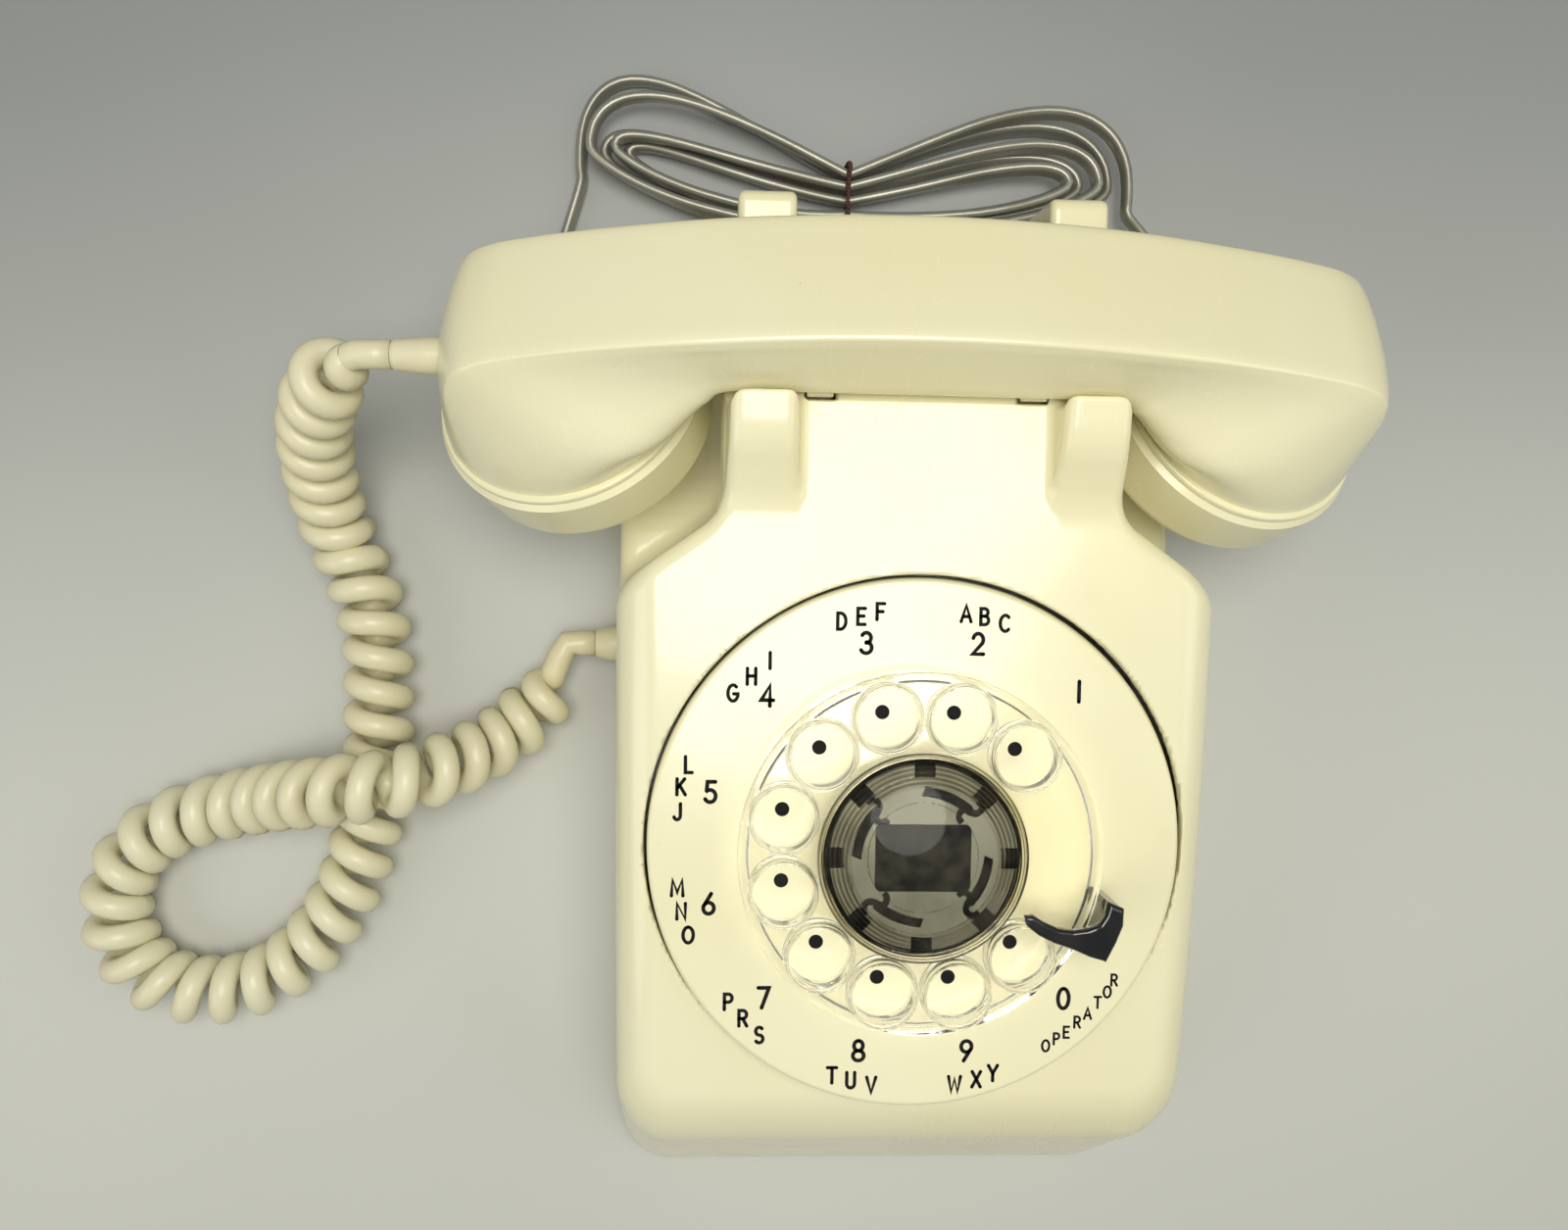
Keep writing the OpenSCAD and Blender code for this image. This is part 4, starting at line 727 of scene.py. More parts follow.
moulding("housing_shell", housing_field, (-73, -108, -2), (73, 149, 87), 0.95, 0.42,
         "ivory_plastic", nodes=["housing"])

# %% [markdown]
# ## The handset
#
# The handset is a loft. At each station, from the middle of the grip out to a cup's rim,
# the section has an outer and an inner point and a width, and morphs from a grip with
# flat back and creased sides into the cup's circle. Ten stations are enough, because a
# smooth curve runs through their numbers. A flat rim finishes each cup.

# %% Handset loft
HANDSET_X, REST_YAW, CUP_TILT, CUP_DROP = -1.2, math.radians(-0.4), math.radians(15), 43.8
HANDSET_LEN, CAP_R, BACK_W, GRIP_W, GRIP_T, BACK_R = 217.5, 31.75, 31.5, 32.0, 24.3, 340.0
RIM_R, SHELF, PER_STATION, PER_SPAN = CAP_R - 1.3, 2.2, 9, 5
RIM_BORE, RIM_HIGH = 26.0, 1.7
CUP_X = HANDSET_LEN / 2 - CAP_R * math.cos(CUP_TILT)
# outer point's share, inner point's share, inner drop, widening, roundness, outer drop
STATIONS = [
    (0.00, 0.00, 0.00, 0.00, 0.00, 0.00), (0.22, 0.42, 0.00, 0.00, 0.00, 0.00),
    (0.44, 0.81, 0.00, 0.00, 0.00, 0.00), (0.61, 0.88, 0.12, 0.19, 0.04, 0.00),
    (0.77, 0.94, 0.36, 0.48, 0.08, 0.00), (0.87, 0.975, 0.58, 0.72, 0.16, 0.01),
    (0.93, 0.99, 0.74, 0.86, 0.30, 0.08), (0.965, 1.00, 0.86, 0.94, 0.54, 0.27),
    (0.985, 1.00, 0.94, 0.985, 0.82, 0.58), (1.00, 1.00, 1.00, 1.00, 1.00, 1.00),
]


def on_handset(points):
    """From the handset's own frame, with x along it and z out of its back, to the cradle."""
    x, y, z = np.moveaxis(points, -1, 0)
    c, s = math.cos(REST_YAW), math.sin(REST_YAW)
    x, y = x * c - y * s, x * s + y * c
    c, s = math.cos(REST_TILT), math.sin(REST_TILT)
    return np.stack([x + HANDSET_X, y * c + z * s + HANDSET_Y, z * c - y * s + HANDSET_Z], -1)


def on_cup(points, side):
    """From a cup's frame, with z = 0 on its rim and z up into the cup, to the cradle."""
    x, y, z = np.moveaxis(points, -1, 0)
    c, s = math.cos(CUP_TILT), side * math.sin(CUP_TILT)
    return on_handset(np.stack([x * c + z * s + side * CUP_X, y, z * c - x * s - CUP_DROP], -1))


def section(width, half_height, roundness):
    """A closed section. Half of it goes from the middle of the back round one side to the
    middle of the front: flat back, crease and rounded belly, blended with an ellipse by
    grip + (ellipse - grip) roundness. The other half is its mirror image."""
    a, w = BACK_W / 2, width
    grip = np.array([
        (0, 1), (a * 0.5, 1), (a - 1.2, 0.99), (a, 1 - 1.8 / half_height),
        (a + 0.25 * (w - a), 0.55), (a + 0.55 * (w - a), 0.15), (a + 0.85 * (w - a), -0.2),
        (w, -0.45), (0.965 * w, -0.64), (0.85 * w, -0.80), (0.64 * w, -0.92),
        (0.34 * w, -0.985), (0, -1)])
    turn = np.radians([0, 15, 28, 38, 52, 68, 84, 98, 112, 128, 145, 162, 180])
    ellipse = np.stack([w * np.sin(turn), np.cos(turn)], 1)
    half = grip + (ellipse - grip) * roundness
    mirrored = half[1:-1][::-1] * (-1, 1)
    loop = smooth_line(np.vstack([mirrored[-2:], half, mirrored[:2]]), PER_SPAN)
    loop = loop[2 * PER_SPAN:-2 * PER_SPAN]
    return np.vstack([loop, (loop[1:-1] * (-1, 1))[::-1]]) * (1, half_height)


def loft_ring(station, side):
    """One ring of the loft. Its outer point goes out along the back's arc, z = -x^2 / 2R,
    and drops to the cup's outer rim. Its inner point goes from the grip's belly to the
    cup's inner rim, and the section stands between the two."""
    out, inn, drop, wide, roundness, out_drop = station
    reach = RIM_R * math.cos(CUP_TILT), RIM_R * math.sin(CUP_TILT)
    x0, x1 = out * (CUP_X + reach[0]), inn * (CUP_X - reach[0])
    back = -x0**2 / (2 * BACK_R)
    outer = np.array((x0, back + (-CUP_DROP - reach[1] - back) * out_drop))
    inner = np.array((x1, -GRIP_T + (-CUP_DROP + reach[1] + GRIP_T) * drop))
    inner = inner + unit(outer - inner) * SHELF * drop**2
    up, half_height = unit(outer - inner), np.linalg.norm(outer - inner) / 2
    width = GRIP_W / 2 + (RIM_R - SHELF / 2 - GRIP_W / 2) * wide
    ring = section(width, half_height, roundness)
    middle = (outer + inner) / 2
    out_x, out_z = middle[0] + up[0] * ring[:, 1], middle[1] + up[1] * ring[:, 1]
    return np.stack([side * out_x, ring[:, 0], out_z], 1)


def lathe(profile, steps):
    """A profile of (radius, height) points turned about z: (r cos a, r sin a, h). Going up
    its outside and in over its top puts the faces outward."""
    profile = np.asarray(profile, float)
    angle = np.arange(steps) / steps * 2 * np.pi
    x, y = profile[:, :1] * np.cos(angle), profile[:, :1] * np.sin(angle)
    points = np.stack([x, y, np.broadcast_to(profile[:, 1:], x.shape)], -1)
    return points.reshape(-1, 3), grid_faces(len(profile), steps)


def arc(centre, radius, first, last, steps):
    """Points of (radius, height) on a circle between two angles in degrees."""
    angle = np.radians(np.linspace(first, last, steps))
    return [(centre[0] + radius * math.cos(a), centre[1] + radius * math.sin(a)) for a in angle]


stations = smooth_line(STATIONS, PER_STATION)
rings = [loft_ring(s, -1) for s in stations[:0:-1]] + [loft_ring(s, 1) for s in stations]
points = on_handset(np.array(rings))
faces = capped(grid_faces(*points.shape[:2]), *points.shape[:2])
new_piece("handset_body", points.reshape(-1, 3), faces, "ivory_plastic", "handset", ["handset_shell"])
rim = [(RIM_BORE, 0.0), *arc((RIM_R - 0.2, 0.45), 0.45, -90, 0, 5),
       *arc((RIM_R - 0.35, 1.1), 0.6, 0, 90, 6), (RIM_BORE, RIM_HIGH)]
for side, name in ((-1, "mouth"), (1, "ear")):
    points, faces = lathe(rim, 160)
    new_piece(name + "_rim", on_cup(points, side), faces, "ivory_plastic", "handset")
print("handset lofted through", len(stations), "stations a side")

# %% [markdown]
# ## The dial
#
# The number plate is turned, with a softly rolled edge. The numbers and letters are
# printed on it with strokes of one width, so each character is a few lines and arcs and
# no font is needed. A black dot sits under each finger hole.

# %% Number plate, characters and dots
DIAL_Z, PLATE_R, HOLE_RING = 70.0, 59.2, 30.6
FIRST_HOLE, HOLE_TURN, HOLES, DOT_R = 45, 30, 10, 1.6
ARC_STEP, END_SIDES, DOT_SIDES = 12, 16, 32
# Strokes in units of a character's height: x,y points, or @ for an arc with its centre
# x,y, its half width and half height, and its first and last angle.
STROKES = {
    "0": ["@.3,.5,.27,.5,90,450"], "1": [".3,0 .3,1"], "2": ["@.3,.7,.25,.3,165,-38 .04,0 .57,0"],
    "3": ["@.28,.75,.23,.25,150,-90", "@.28,.27,.27,.27,90,-155"], "4": [".45,0 .45,1 .02,.28 .62,.28"],
    "5": [".52,1 .14,1 .1,.56 @.27,.3,.27,.3,125,-150"], "6": ["@.3,.28,.26,.28,140,500", ".1,.45 .42,1"],
    "7": [".05,1 .57,1 .22,0"], "8": ["@.3,.75,.22,.25,90,450", "@.3,.25,.27,.25,90,450"],
    "9": ["@.3,.72,.26,.28,-40,320", ".5,.55 .18,0"], "A": [".02,0 .33,1 .64,0", ".13,.32 .53,.32"],
    "B": [".08,.53 .32,.53 @.32,.765,.2,.235,-90,90 .08,1 .08,0 .34,0 @.34,.265,.23,.265,-90,90"],
    "C": ["@.36,.5,.32,.5,48,312"], "D": [".26,0 .08,0 .08,1 .26,1 @.26,.5,.33,.5,90,-90"],
    "E": [".54,1 .08,1 .08,0 .54,0", ".08,.52 .46,.52"], "F": [".54,1 .08,1 .08,0", ".08,.5 .45,.5"],
    "G": ["@.36,.5,.32,.5,50,340 .66,.45 .4,.45"], "H": [".08,0 .08,1", ".6,0 .6,1", ".08,.52 .6,.52"],
    "I": [".3,0 .3,1"], "J": [".42,1 .42,.25 @.22,.25,.2,.25,0,-160"],
    "K": [".08,0 .08,1", ".55,1 .08,.4", ".25,.58 .6,0"], "L": [".1,1 .1,0 .52,0"],
    "M": [".04,0 .1,1 .4,.2 .7,1 .76,0"], "N": [".08,0 .08,1 .6,0 .6,1"], "O": ["@.36,.5,.32,.5,90,450"],
    "P": [".08,0 .08,1 .32,1 @.32,.74,.24,.26,90,-90 .08,.48"],
    "R": [".08,0 .08,1 .32,1 @.32,.74,.24,.26,90,-90 .08,.48", ".32,.48 .58,0"],
    "S": ["@.29,.75,.22,.25,40,270 @.29,.25,.24,.25,90,-145"], "T": [".02,1 .6,1", ".31,1 .31,0"],
    "U": [".07,1 .07,.3 @.32,.28,.25,.28,180,360 .57,1"], "V": [".02,1 .31,0 .6,1"],
    "W": [".02,1 .2,0 .4,.85 .6,0 .78,1"], "X": [".04,1 .58,0", ".58,1 .04,0"],
    "Y": [".02,1 .31,.48 .6,1", ".31,.48 .31,0"],
}
DIGITS = """1 35.6 34.5, 2 12.9 44.8, 3 -11.7 44.7, 4 -33.2 32.9, 5 -45.3 11.6, 6 -45.4 -13.2,
    7 -33.0 -34.3, 8 -11.7 -46.3, 9 12.5 -46.4, 0 34.1 -34.5"""
LETTERS = """A 10.1 51.4, B 14.2 50.8, C 18.6 49.4, D -17.2 49.4, E -12.9 50.5, F -8.7 51.6,
    G -40.7 33.4, H -36.7 37.1, I -32.7 40.6, J -52.5 7.2, K -51.7 12.7, L -50.1 17.6,
    M -52.3 -9.7, N -51.4 -14.9, O -49.8 -20.2, P -40.8 -35.2, R -37.5 -38.9, S -33.8 -42.7,
    T -17.5 -51.9, U -13.3 -53.0, V -8.7 -54.1, W 10.0 -54.0, X 14.9 -52.9, Y 18.6 -51.5"""
WORD = """O 30.4 -45.3, P 32.8 -43.7, E 35.0 -42.2, R 37.4 -39.9,
    A 39.7 -37.9, T 41.9 -35.4, O 44.0 -33.0, R 45.5 -30.3"""


def stroke_line(text):
    """The points of one stroke. An arc's point at angle a is centre + (w cos a, h sin a)."""
    line = []
    for word in text.split():
        numbers = [float(n) for n in word.strip("@").split(",")]
        if word[0] == "@":
            x, y, wide, high, first, last = numbers
            angle = np.radians(np.linspace(first, last, 3 + int(abs(last - first) / ARC_STEP)))
            line += list(zip(x + wide * np.cos(angle), y + high * np.sin(angle)))
        else:
            line.append(tuple(numbers))
    return np.array(line)


def ribbon(line, width):
    """A flat stroke of even width with mitred corners and round ends, as points and faces."""
    step = np.linalg.norm(np.diff(line, axis=0), axis=1)
    line = line[np.concatenate([[True], step > 1e-6])]
    way = unit(np.diff(line, axis=0))
    before, after = np.vstack([way[:1], way]), np.vstack([way, way[-1:]])
    along = unit(before + after)
    side = np.stack([-along[:, 1], along[:, 0]], 1)
    side = side / np.maximum((along * after).sum(1), 0.5)[:, None] * width / 2
    points, n = np.vstack([line - side, line + side]), len(line)
    faces = [(i, i + 1, n + i + 1, n + i) for i in range(n - 1)]
    angle = np.arange(END_SIDES) / END_SIDES * 2 * np.pi
    for end in (line[0], line[-1]):
        faces.append(tuple(range(len(points), len(points) + END_SIDES)))
        points = np.vstack([points, end + width / 2 * np.stack([np.cos(angle), np.sin(angle)], 1)])
    return points, faces


def printed(table, height, width):
    """Points and faces of a table of characters, each centred on its x and y."""
    points, faces, count = [], [], 0
    for entry in table.split(","):
        glyph, x, y = entry.split()
        lines = [stroke_line(text) for text in STROKES[glyph]]
        low, high = np.vstack(lines).min(0), np.vstack(lines).max(0)
        for line in lines:
            p, f = ribbon((line - (low + high) / 2) * height + (float(x), float(y)), width)
            points.append(p)
            faces += [tuple(i + count for i in face) for face in f]
            count += len(p)
    return np.vstack(points), faces


ROLL, SKIRT_Z, PLATE_T, PLATE_BORE = 1.3, 58.0, 2, 12
plate = [(PLATE_BORE, DIAL_Z - PLATE_T), (PLATE_R - PLATE_T, DIAL_Z - PLATE_T),
         (PLATE_R - PLATE_T, SKIRT_Z), (PLATE_R, SKIRT_Z),
         *arc((PLATE_R - ROLL, DIAL_Z - ROLL), ROLL, 0, 90, 10),
         (40, DIAL_Z), (PLATE_BORE, DIAL_Z), (PLATE_BORE, DIAL_Z - PLATE_T)]
points, faces = lathe(plate, 256)
crease(new_piece("dial_plate", points, faces, "ivory_plastic", nodes=["number_plate"]))

INK_Z = DIAL_Z + 0.03
# each kind's height and the width of its strokes
DIGIT_SIZE, LETTER_SIZE, WORD_SIZE = (4.5, 0.88), (3.5, 0.78), (2.5, 0.54)
sets = [printed(DIGITS, *DIGIT_SIZE), printed(LETTERS, *LETTER_SIZE), printed(WORD, *WORD_SIZE)]
dot_angle = np.arange(DOT_SIDES) / DOT_SIDES * 2 * np.pi
dot = DOT_R * np.stack([np.cos(dot_angle), np.sin(dot_angle)], 1)
for i in range(HOLES):
    a = math.radians(FIRST_HOLE + HOLE_TURN * i)
    place = HOLE_RING * np.array((math.cos(a), math.sin(a)))
    sets.append((dot + place, [tuple(range(DOT_SIDES))]))
points, faces = [], []
for p, f in sets:
    start = sum(map(len, points))
    faces += [tuple(i + start for i in face) for face in f]
    points.append(p)
points = np.vstack(points)
points = np.column_stack([points, np.full(len(points), INK_Z)])
new_piece("dial_print", points, faces, "black_plastic", look="ink")

# %% [markdown]
# ## Finger wheel, hub and finger stop
#
# The clear wheel is one moulding: a disc with a rolled edge, and a raised rim round each
# hole. In its middle a clear dome with fine turned rings covers a plated spider with
# curved slots and the dark card that it holds. The finger stop hooks over the wheel.

# %% Wheel, dome, spider, card and stop
WHEEL_Z, WHEEL_T, WHEEL_R, HOLE_BORE, RIM_WALL = 77.0, 3.0, 39.25, 6.7, 0.6
WHEEL_TOP, WHEEL_BORE, EDGE_HALF = WHEEL_Z + WHEEL_T, 4.05, 0.95
# how far the edge and the rims hang below the disc, and how far the rims stand above it
RIM_BELOW, RIM_ABOVE, DOME_CLEAR = 1.5, 3, 0.8
DOME_R = HOLE_RING - HOLE_BORE - RIM_WALL - DOME_CLEAR


def slab(z, low, high):
    """Distance to the layer between two heights: |z - middle| - half its thickness."""
    return abs(z - (low + high) / 2) - (high - low) / 2


def wheel_field(x, y, z):
    """A disc with a rolled edge and ten rimmed holes. Each point looks only at its nearest
    hole, whose angle is first + turn * round((angle - first) / turn)."""
    r = np.hypot(x, y)
    edge = abs(r - WHEEL_R + EDGE_HALF) - EDGE_HALF
    edge = rounded_and(edge, slab(z, WHEEL_Z - RIM_BELOW, WHEEL_TOP - 0.3), 0.6)
    disc = rounded_or(rounded_and(r - WHEEL_R, slab(z, WHEEL_Z, WHEEL_TOP), 1.2), edge, 0.6)
    which = np.round((np.degrees(np.arctan2(y, x)) % 360 - FIRST_HOLE) / HOLE_TURN)
    turn = np.clip(which, 0, HOLES - 1) * np.radians(HOLE_TURN) + np.radians(FIRST_HOLE)
    hole = np.hypot(x - HOLE_RING * np.cos(turn), y - HOLE_RING * np.sin(turn))
    rim = slab(z, WHEEL_Z - RIM_BELOW, WHEEL_TOP + RIM_ABOVE)
    rim = rounded_and(hole - HOLE_BORE - RIM_WALL, rim, 0.28)
    return np.maximum(rounded_and(rounded_or(disc, rim, 0.7), HOLE_BORE - hole, 0.2), WHEEL_BORE - r)


moulding("clear_wheel", wheel_field, (-40, -40, 74.5), (40, 40, 84), 0.27, 0.22, "clear_acrylic",
         "dial", ["finger_wheel"])

# the dome is a cap of a ball, h = rise - r^2 / 2R, over a low wall, with grooves sin^3
DOME_RISE, DOME_SIDE, DOME_INSIDE, DOME_WALL, DOME_BEVEL, DOME_GAP = 5, 2.2, 6, 1.3, 0.3, 0.02
GROOVE_FROM, GROOVE_DEEP, GROOVE_PITCH = 16.0, 0.15, 0.96
BALL_R = (DOME_R**2 + DOME_RISE**2) / (2 * DOME_RISE)
r = np.linspace(DOME_R - 0.1, 0.01, 220)
groove = GROOVE_DEEP * np.sin((DOME_R - r) * 2 * np.pi / GROOVE_PITCH) ** 3
dome_top = WHEEL_TOP + DOME_SIDE + DOME_RISE - r**2 / (2 * BALL_R) + np.where(r > GROOVE_FROM, groove, 0)
inside = np.linspace(0.01, DOME_R - DOME_WALL, 60)
dome = [(DOME_R - DOME_BEVEL, WHEEL_TOP + DOME_GAP), (DOME_R, WHEEL_TOP + DOME_BEVEL),
        (DOME_R, dome_top[0] - DOME_BEVEL), *zip(r, dome_top),
        *zip(inside, WHEEL_TOP + DOME_INSIDE - inside**2 / (2 * BALL_R)),
        (DOME_R - DOME_WALL, WHEEL_TOP + DOME_GAP), (DOME_R - DOME_BEVEL, WHEEL_TOP + DOME_GAP)]
points, faces = lathe(dome, 180)
crease(new_piece("clear_dome", points, faces, "clear_acrylic", "dial", ["hub_dome"], look="clear_dome"), 50)

WINDOW, SPIDER_GAP = (10.0, 7.0), 2.5
NOTCH_HALF, NOTCH_R = 2.2, 17.2
# the arc slots' radius, twice their bending radius, half width and half length
ARC_R, ARC_BEND, ARC_HALF, ARC_REACH = 13.9, 32, 0.95, 5.4
# the S slots' radius, the radius of their two bends, half width and overlap
BEND_AT, S_BEND, S_HALF, S_OVERLAP, FAR_OFF = 14.0, 1.45, 0.6, 0.4, 9.0


def spider_field(x, y, z):
    """A rim with eight notches, four arc slots, four S slots and a card window. A shape is
    repeated by folding the angle: (angle + half) % pitch - half."""
    r, angle = np.hypot(x, y), np.degrees(np.arctan2(y, x))
    eighth = np.radians((angle + 22.5) % 45 - 22.5)
    notch = np.maximum(abs(r * np.sin(eighth)) - NOTCH_HALF, NOTCH_R - r)
    quarter = np.radians((angle + 67.5) % 90 - 45)
    along, across = r * np.sin(quarter), r * np.cos(quarter) - ARC_R
    slots = np.maximum(abs(across + along**2 / ARC_BEND) - ARC_HALF, abs(along) - ARC_REACH)
    turned = np.radians(angle % 90 - 45)
    u, v = r * np.sin(turned), r * np.cos(turned) - BEND_AT
    first = np.where(u < S_OVERLAP, abs(np.hypot(u, v - S_BEND) - S_BEND) - S_HALF, FAR_OFF)
    second = np.where(u > -S_OVERLAP, abs(np.hypot(u, v + S_BEND) - S_BEND) - S_HALF, FAR_OFF)
    window = rounded_and(abs(x) - WINDOW[0], abs(y) - WINDOW[1], 2.0)
    cut = np.minimum(np.minimum(notch, slots), np.minimum(np.minimum(first, second), window))
    step = np.where(r > 16.4, 1.2, np.where(r > 11.8, 0.85, 1.2))
    plate = np.maximum(r - DOME_R + SPIDER_GAP, slab(z, WHEEL_TOP, WHEEL_TOP + step))
    return np.maximum(plate, -cut)


moulding("hub_spider", spider_field, (-21, -21, 79.5), (21, 21, 82), 0.24, 0.5, "plated_steel",
         "dial", ["card_retainer"], look="dull_plate")
CARD_HALF, CARD_TOP = (10.2, 7.2), 81.35
FLOOR_R, FLOOR_BORE, FLOOR_Z, FLOOR_TOP = 21.3, 4.1, 80.02, 80.2


def card_field(x, y, z):
    """A thin card with rounded corners, just wider than the spider's window."""
    outline = rounded_and(abs(x) - CARD_HALF[0], abs(y) - CARD_HALF[1], 1.5)
    return rounded_and(outline, slab(z, FLOOR_Z, CARD_TOP), 0.1)


moulding("hub_card", card_field, (-11, -8, 79.5), (11, 8, 82), 0.2, 0.2, "black_plastic", "dial",
         look="dark_card")
floor = [(FLOOR_R, FLOOR_Z), (FLOOR_R, FLOOR_TOP), (FLOOR_BORE, FLOOR_TOP), (FLOOR_BORE, FLOOR_Z)]
points, faces = lathe(floor, 96)
new_piece("hub_floor", points, faces, "black_plastic", "dial", look="dark_card")


def outline_distance(x, y, corners):
    """Signed distance to a polygon: the nearest of its edges, negative where an odd
    number of edges is crossed on the way out."""
    corners = np.asarray(corners, float)
    x, y = np.broadcast_arrays(x, y)
    nearest, inside = np.full(x.shape, 1e9), np.zeros(x.shape, bool)
    for (ax, ay), (bx, by) in zip(corners, np.roll(corners, -1, 0)):
        dx, dy = bx - ax, by - ay
        share = np.clip(((x - ax) * dx + (y - ay) * dy) / (dx * dx + dy * dy), 0, 1)
        nearest = np.minimum(nearest, np.hypot(x - ax - share * dx, y - ay - share * dy))
        crossing = (ay > y) != (by > y)
        inside ^= crossing & (x < dx * (y - ay) / (dy if dy else 1e-9) + ax)
    return np.where(inside, -nearest, nearest)


HOOK = [
    (20.9, -11.0), (21.5, -13.2), (24.0, -15.2), (27.2, -16.8), (31.4, -18.2), (35.0, -19.8),
    (38.6, -20.9), (40.6, -16.9), (42.0, -13.3), (42.1, -9.8), (39.0, -8.4), (38.2, -10.9),
    (37.0, -12.7), (34.4, -13.7), (31.3, -14.1), (28.2, -13.7), (25.2, -12.4), (22.8, -10.9),
]
STOP_TOP, STOP_FOOT, ROOT_X, ROOT_TOP = 86.6, 84.0, 38.6, 85.4
FALL_FROM, FALL_OVER, FALL = 36.0, 12, 0.12


def stop_field(x, y, z):
    """A hooked blade over the wheel, whose top falls a little towards its root, and the
    root that carries it down to the number plate."""
    flat = outline_distance(x, y, HOOK)
    top = STOP_TOP - np.clip(x - FALL_FROM, 0, FALL_OVER) * FALL
    hook = rounded_and(flat, np.maximum(z - top, STOP_FOOT - z), 0.9)
    root = rounded_and(np.maximum(flat, ROOT_X - x), slab(z, DIAL_Z, ROOT_TOP), 0.5)
    return rounded_or(hook, root, 0.8)


moulding("black_stop", stop_field, (19, -26, 69.5), (48, -7, 88), 0.3, 0.5, "black_plastic",
         nodes=["finger_stop"])

# %% [markdown]
# ## Boot, bushings, tie, plug and plungers
#
# The cord leaves the handset through a tapered boot and enters the housing through a
# bushing, both turned. A brown wire, twisted from two strands, holds the hank's waist. The
# plungers are the two buttons that the handset presses down, and the plug gets its four
# gold contacts.

# %% Small pieces
BOOT_BASE, COLLAR_X = (-104.0, 0.0, -33.0), -66.0


def lying(profile, base):
    """A turned piece whose axis runs from its base towards -x."""
    points, faces = lathe(profile, 72)
    x, y, z = points.T
    return np.stack([base[0] - z, base[1] + y, base[2] + x], -1), faces


boot = [(0.01, 0), (4.1, 0), (4.1, 3.2), (4.0, 5.2), (3.8, 7.6), (3.55, 10.2), (3.45, 10.9),
        (3.1, 11.4), (0.01, 11.5)]
points, faces = lying(boot, BOOT_BASE)
crease(new_piece("cord_boot", on_handset(points), faces, "cord_ivory", "handset", ["handset_cord_boot"]), 50)

for name, slot, (_, y, z), r in (("handset_cord", "cord_ivory", HOUSING_END, 4.55),
                                 ("line_cord", "grey_cord", LINE_END, 3.65)):
    collar = [(0.01, 0), (r, 0), (r, 5.6), (r - 0.15, 7.0), (r - 0.7, 9.6), (r - 1.1, 10.3), (0.01, 10.4)]
    points, faces = lying(collar, (COLLAR_X, y, z))
    crease(new_piece(name + "_collar", points, faces, slot, nodes=[name + "_bushing"]), 50)


def twisted(line, reach, turns, thick):
    """Two strands wound round a line, each a tube with its own half of a turn."""
    run = run_of(line) / run_of(line)[-1]
    side, up = frames_along(line)
    points, faces = [], []
    for start in (0.0, np.pi):
        angle = (start + 2 * np.pi * turns * run)[:, None]
        p, f = tube(line + reach * (np.cos(angle) * side + np.sin(angle) * up), *round_section(thick, 8))
        faces += [tuple(i + len(p) * len(points) for i in face) for face in f]
        points.append(p)
    return np.vstack(points), faces


# the tie goes round the waist as a rounded box: half width and height, middle and power
TIE_Y, TIE_Z, TIE_MID_Z, TIE_POWER, TIE_SWAY, STRAND_D = 10.6, 5.3, 6.3, 0.55, 0.25, 0.72
TIE_TAIL = [(-12.4, 149, 11.9), (-12.8, 147.6, 13.4), (-14.2, 147, 14.6), (-16.4, 147.6, 14.9),
            (-18, 149.2, 14.2)]
around = np.linspace(0.25, 2 * np.pi + 0.05, 260)
c, s = np.cos(around), np.sin(around)
tie_x = HANK_MID[0] + TIE_SWAY * np.sin(around * 3)
tie_y = HANK_MID[1] + TIE_Y * np.sign(c) * abs(c) ** TIE_POWER
tie_z = TIE_MID_Z + TIE_Z * np.sign(s) * abs(s) ** TIE_POWER
points, faces = twisted(np.stack([tie_x, tie_y, tie_z], 1), 0.38, 26, STRAND_D)
more, more_faces = twisted(smooth_line(TIE_TAIL, 14), 0.36, 5, STRAND_D)
faces += [tuple(i + len(points) for i in face) for face in more_faces]
new_piece("wire_tie", np.vstack([points, more]), faces, "tie_brown", nodes=["cord_tie"])

CONTACT_PITCH, CONTACT_HALF, CONTACTS_HALF = 2.04, 0.32, 4.0
CONTACT_Y, CONTACT_REACH, CONTACT_Z = 99.0, 1.9, (5.2, 7.0)


def contacts_field(x, y, z):
    """Four blades: |(x + 2 p) % p - p / 2| less half a blade, kept within a block."""
    x = x - PLUG_END[0]
    each = abs((x + 2 * CONTACT_PITCH) % CONTACT_PITCH - CONTACT_PITCH / 2) - CONTACT_HALF
    block = np.maximum(abs(y - CONTACT_Y) - CONTACT_REACH, slab(z, *CONTACT_Z))
    return np.maximum(np.maximum(each, abs(x) - CONTACTS_HALF), block)


moulding("plug_contacts", contacts_field, (85, 96, 4.6), (95, 102, 7.6), 0.16, 0.3, "brass")
plug = frame["nodes"]["line_plug"]
bevel = plug.modifiers.new("soft_edges", "BEVEL")
bevel.width, bevel.segments, bevel.limit_method = 0.0006, 3, "ANGLE"

PLUNGER_HALF, HEAD_Y, HEAD_Z = 2.9, (97.4, 99.0), (66.2, 73.6)
TONGUE_Y, TONGUE_Z = (78.1, 98.9), (66.1, 67.3)


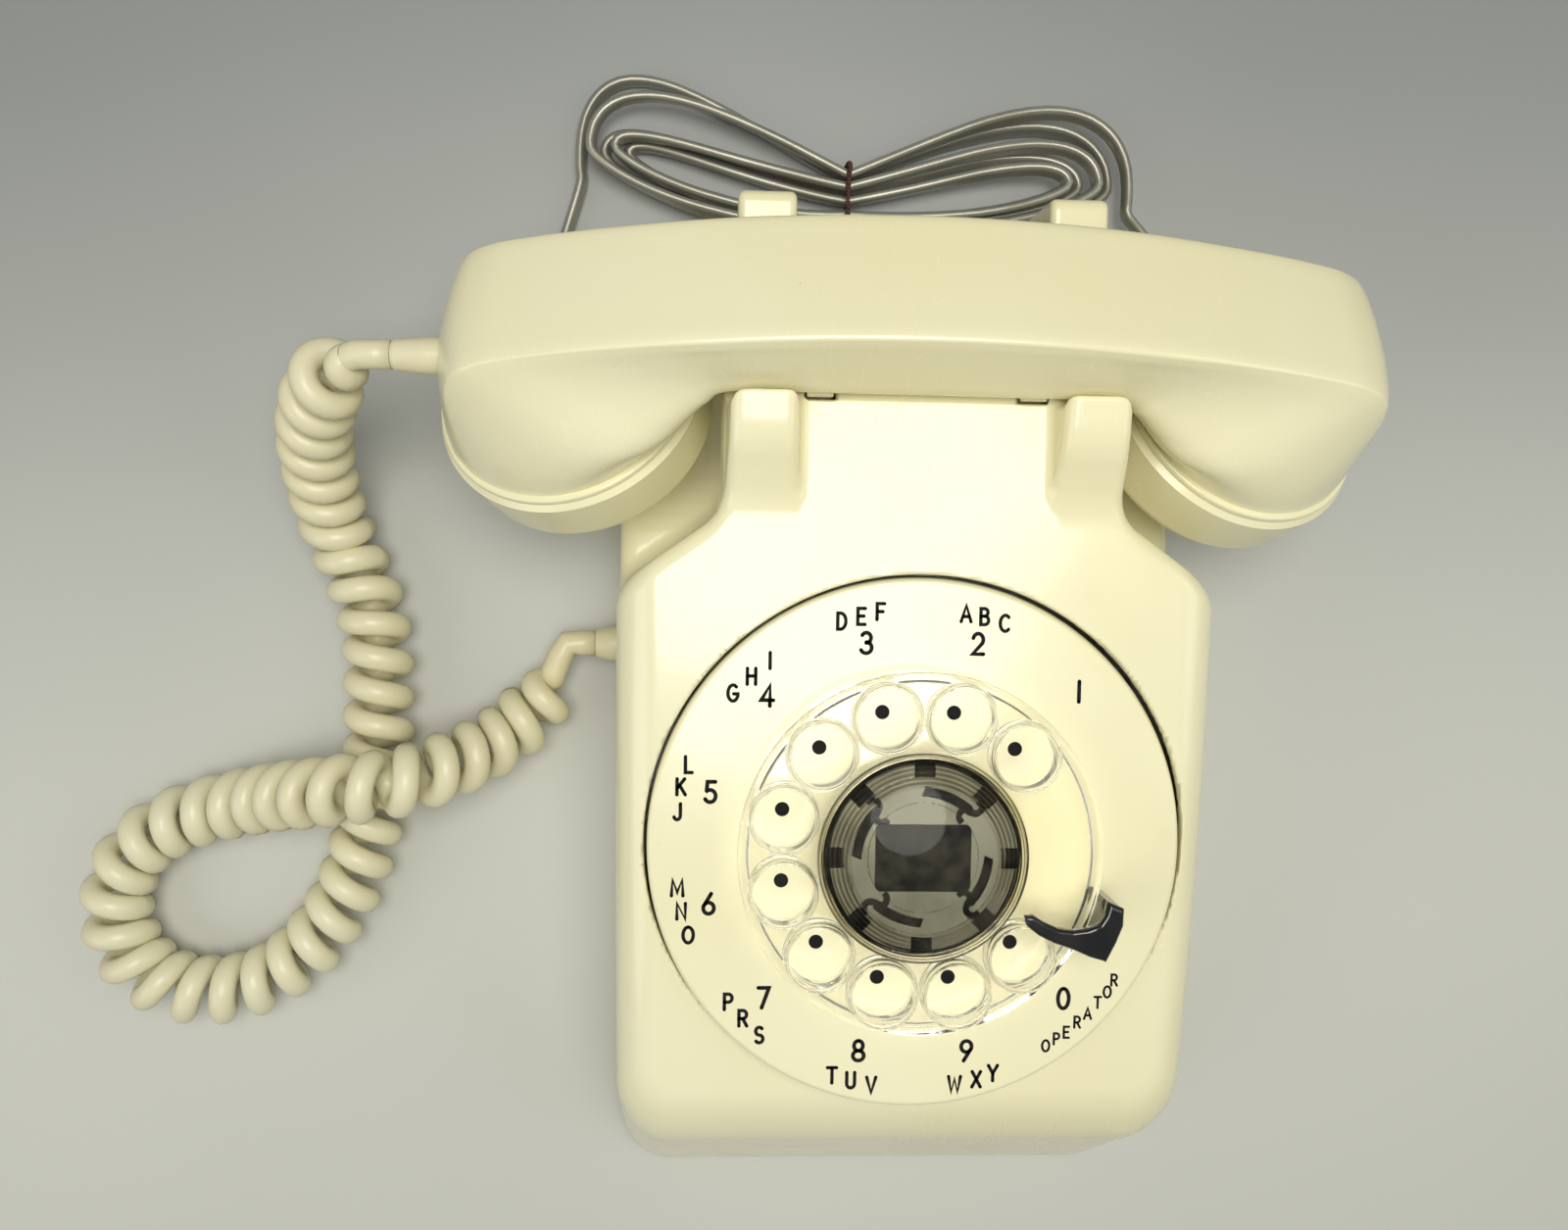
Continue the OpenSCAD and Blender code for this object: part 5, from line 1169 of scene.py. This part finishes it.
def plunger_field(side):
    """The field of one plunger: an upright head, and a tongue that runs down the neck."""
    def field(x, y, z):
        across = abs(x - side * PLUNGER_X) - PLUNGER_HALF
        head = rounded_and(rounded_and(across, slab(y, *HEAD_Y), 0.4), slab(z, *HEAD_Z), 0.5)
        tongue = rounded_and(np.maximum(across, slab(z, *TONGUE_Z)), slab(y, *TONGUE_Y), 0.4)
        return np.minimum(head, tongue)
    return field


for side, name in ((-1, "left"), (1, "right")):
    low, high = (side * PLUNGER_X - 4, 77, 65.4), (side * PLUNGER_X + 4, 100, 75)
    moulding("plunger_button_" + name, plunger_field(side), low, high, 0.36, 0.5,
             "ivory_plastic", "plungers", ["plunger_" + name])

# %% [markdown]
# ## Table and light
#
# A pale table top under a large soft light above the camera, with a weaker one on either
# side. The table's colour is painted darker towards its back, a painted shade for the light
# falling off there. The lamps are at a plain level, so that a colour renders about as it is
# written.

# %% Table and lights
LAMP_COLOUR = (1.0, 0.985, 0.94)
TABLE_HALF, TABLE_Z = 4, -0.0004


def area_light(name, place, aim, size, power):
    """A round lamp, turned to shine from its place at its aim: metres and watts."""
    data = bpy.data.lights.new(name, "AREA")
    data.shape, data.size, data.energy, data.color = "DISK", size, power, LAMP_COLOUR
    lamp = bpy.data.objects.new(name, data)
    bpy.context.scene.collection.objects.link(lamp)
    way = unit(np.array(place, float) - np.array(aim, float))
    side = unit(np.cross((0.0, 1.0, 0.0), way))
    turned = Matrix((side, np.cross(way, side), way)).transposed().to_4x4()
    lamp.matrix_world = Matrix.Translation(place) @ turned


table_top = bpy.data.meshes.new("table_top")
corners = [(x * TABLE_HALF, y * TABLE_HALF, TABLE_Z) for x, y in ((-1, -1), (1, -1), (1, 1), (-1, 1))]
table_top.from_pydata(corners, [], [(0, 1, 2, 3)])
table = bpy.data.objects.new("table", table_top)
bpy.context.scene.collection.objects.link(table)
laminate = Finish("laminate", Roughness=0.45)
cloud = laminate.noise(3.0, 3) * 0.25
along_y = laminate.node("ShaderNodeSeparateXYZ", inputs={"Vector": laminate.place()}, output=1)
# Painted shade: the colour darkens from front to back in place of the lamps' light falling off; the noise
# clouds on top are random tone in the laminate
painted_shade_and_cloud = along_y.step(-0.05, 0.26) * 0.85 + cloud
laminate.feed(Base_Color=laminate.mix(painted_shade_and_cloud, rgb(0.61, 0.615, 0.55), rgb(0.24, 0.255, 0.245)))
table_top.materials.append(laminate.material)

area_light("key", (0.0, 0.13, 0.9), (0.0, 0.02, 0.0), 0.55, 5.8)
area_light("fill_left", (-0.9, -0.3, 0.7), (-0.05, 0.0, 0.0), 0.8, 2.4)
area_light("fill_right", (0.9, 0.1, 0.8), (0.05, 0.0, 0.0), 0.8, 1.95)

world = bpy.data.worlds.new("world")
bpy.context.scene.world = world
world.use_nodes = True
sky = world.node_tree.nodes["Background"]
sky.inputs["Color"].default_value = rgb(0.9, 0.92, 0.95)
sky.inputs["Strength"].default_value = 0.22
bpy.context.scene.view_settings.view_transform = "Standard"
print("lights and table ready")

# %% Import json
import json
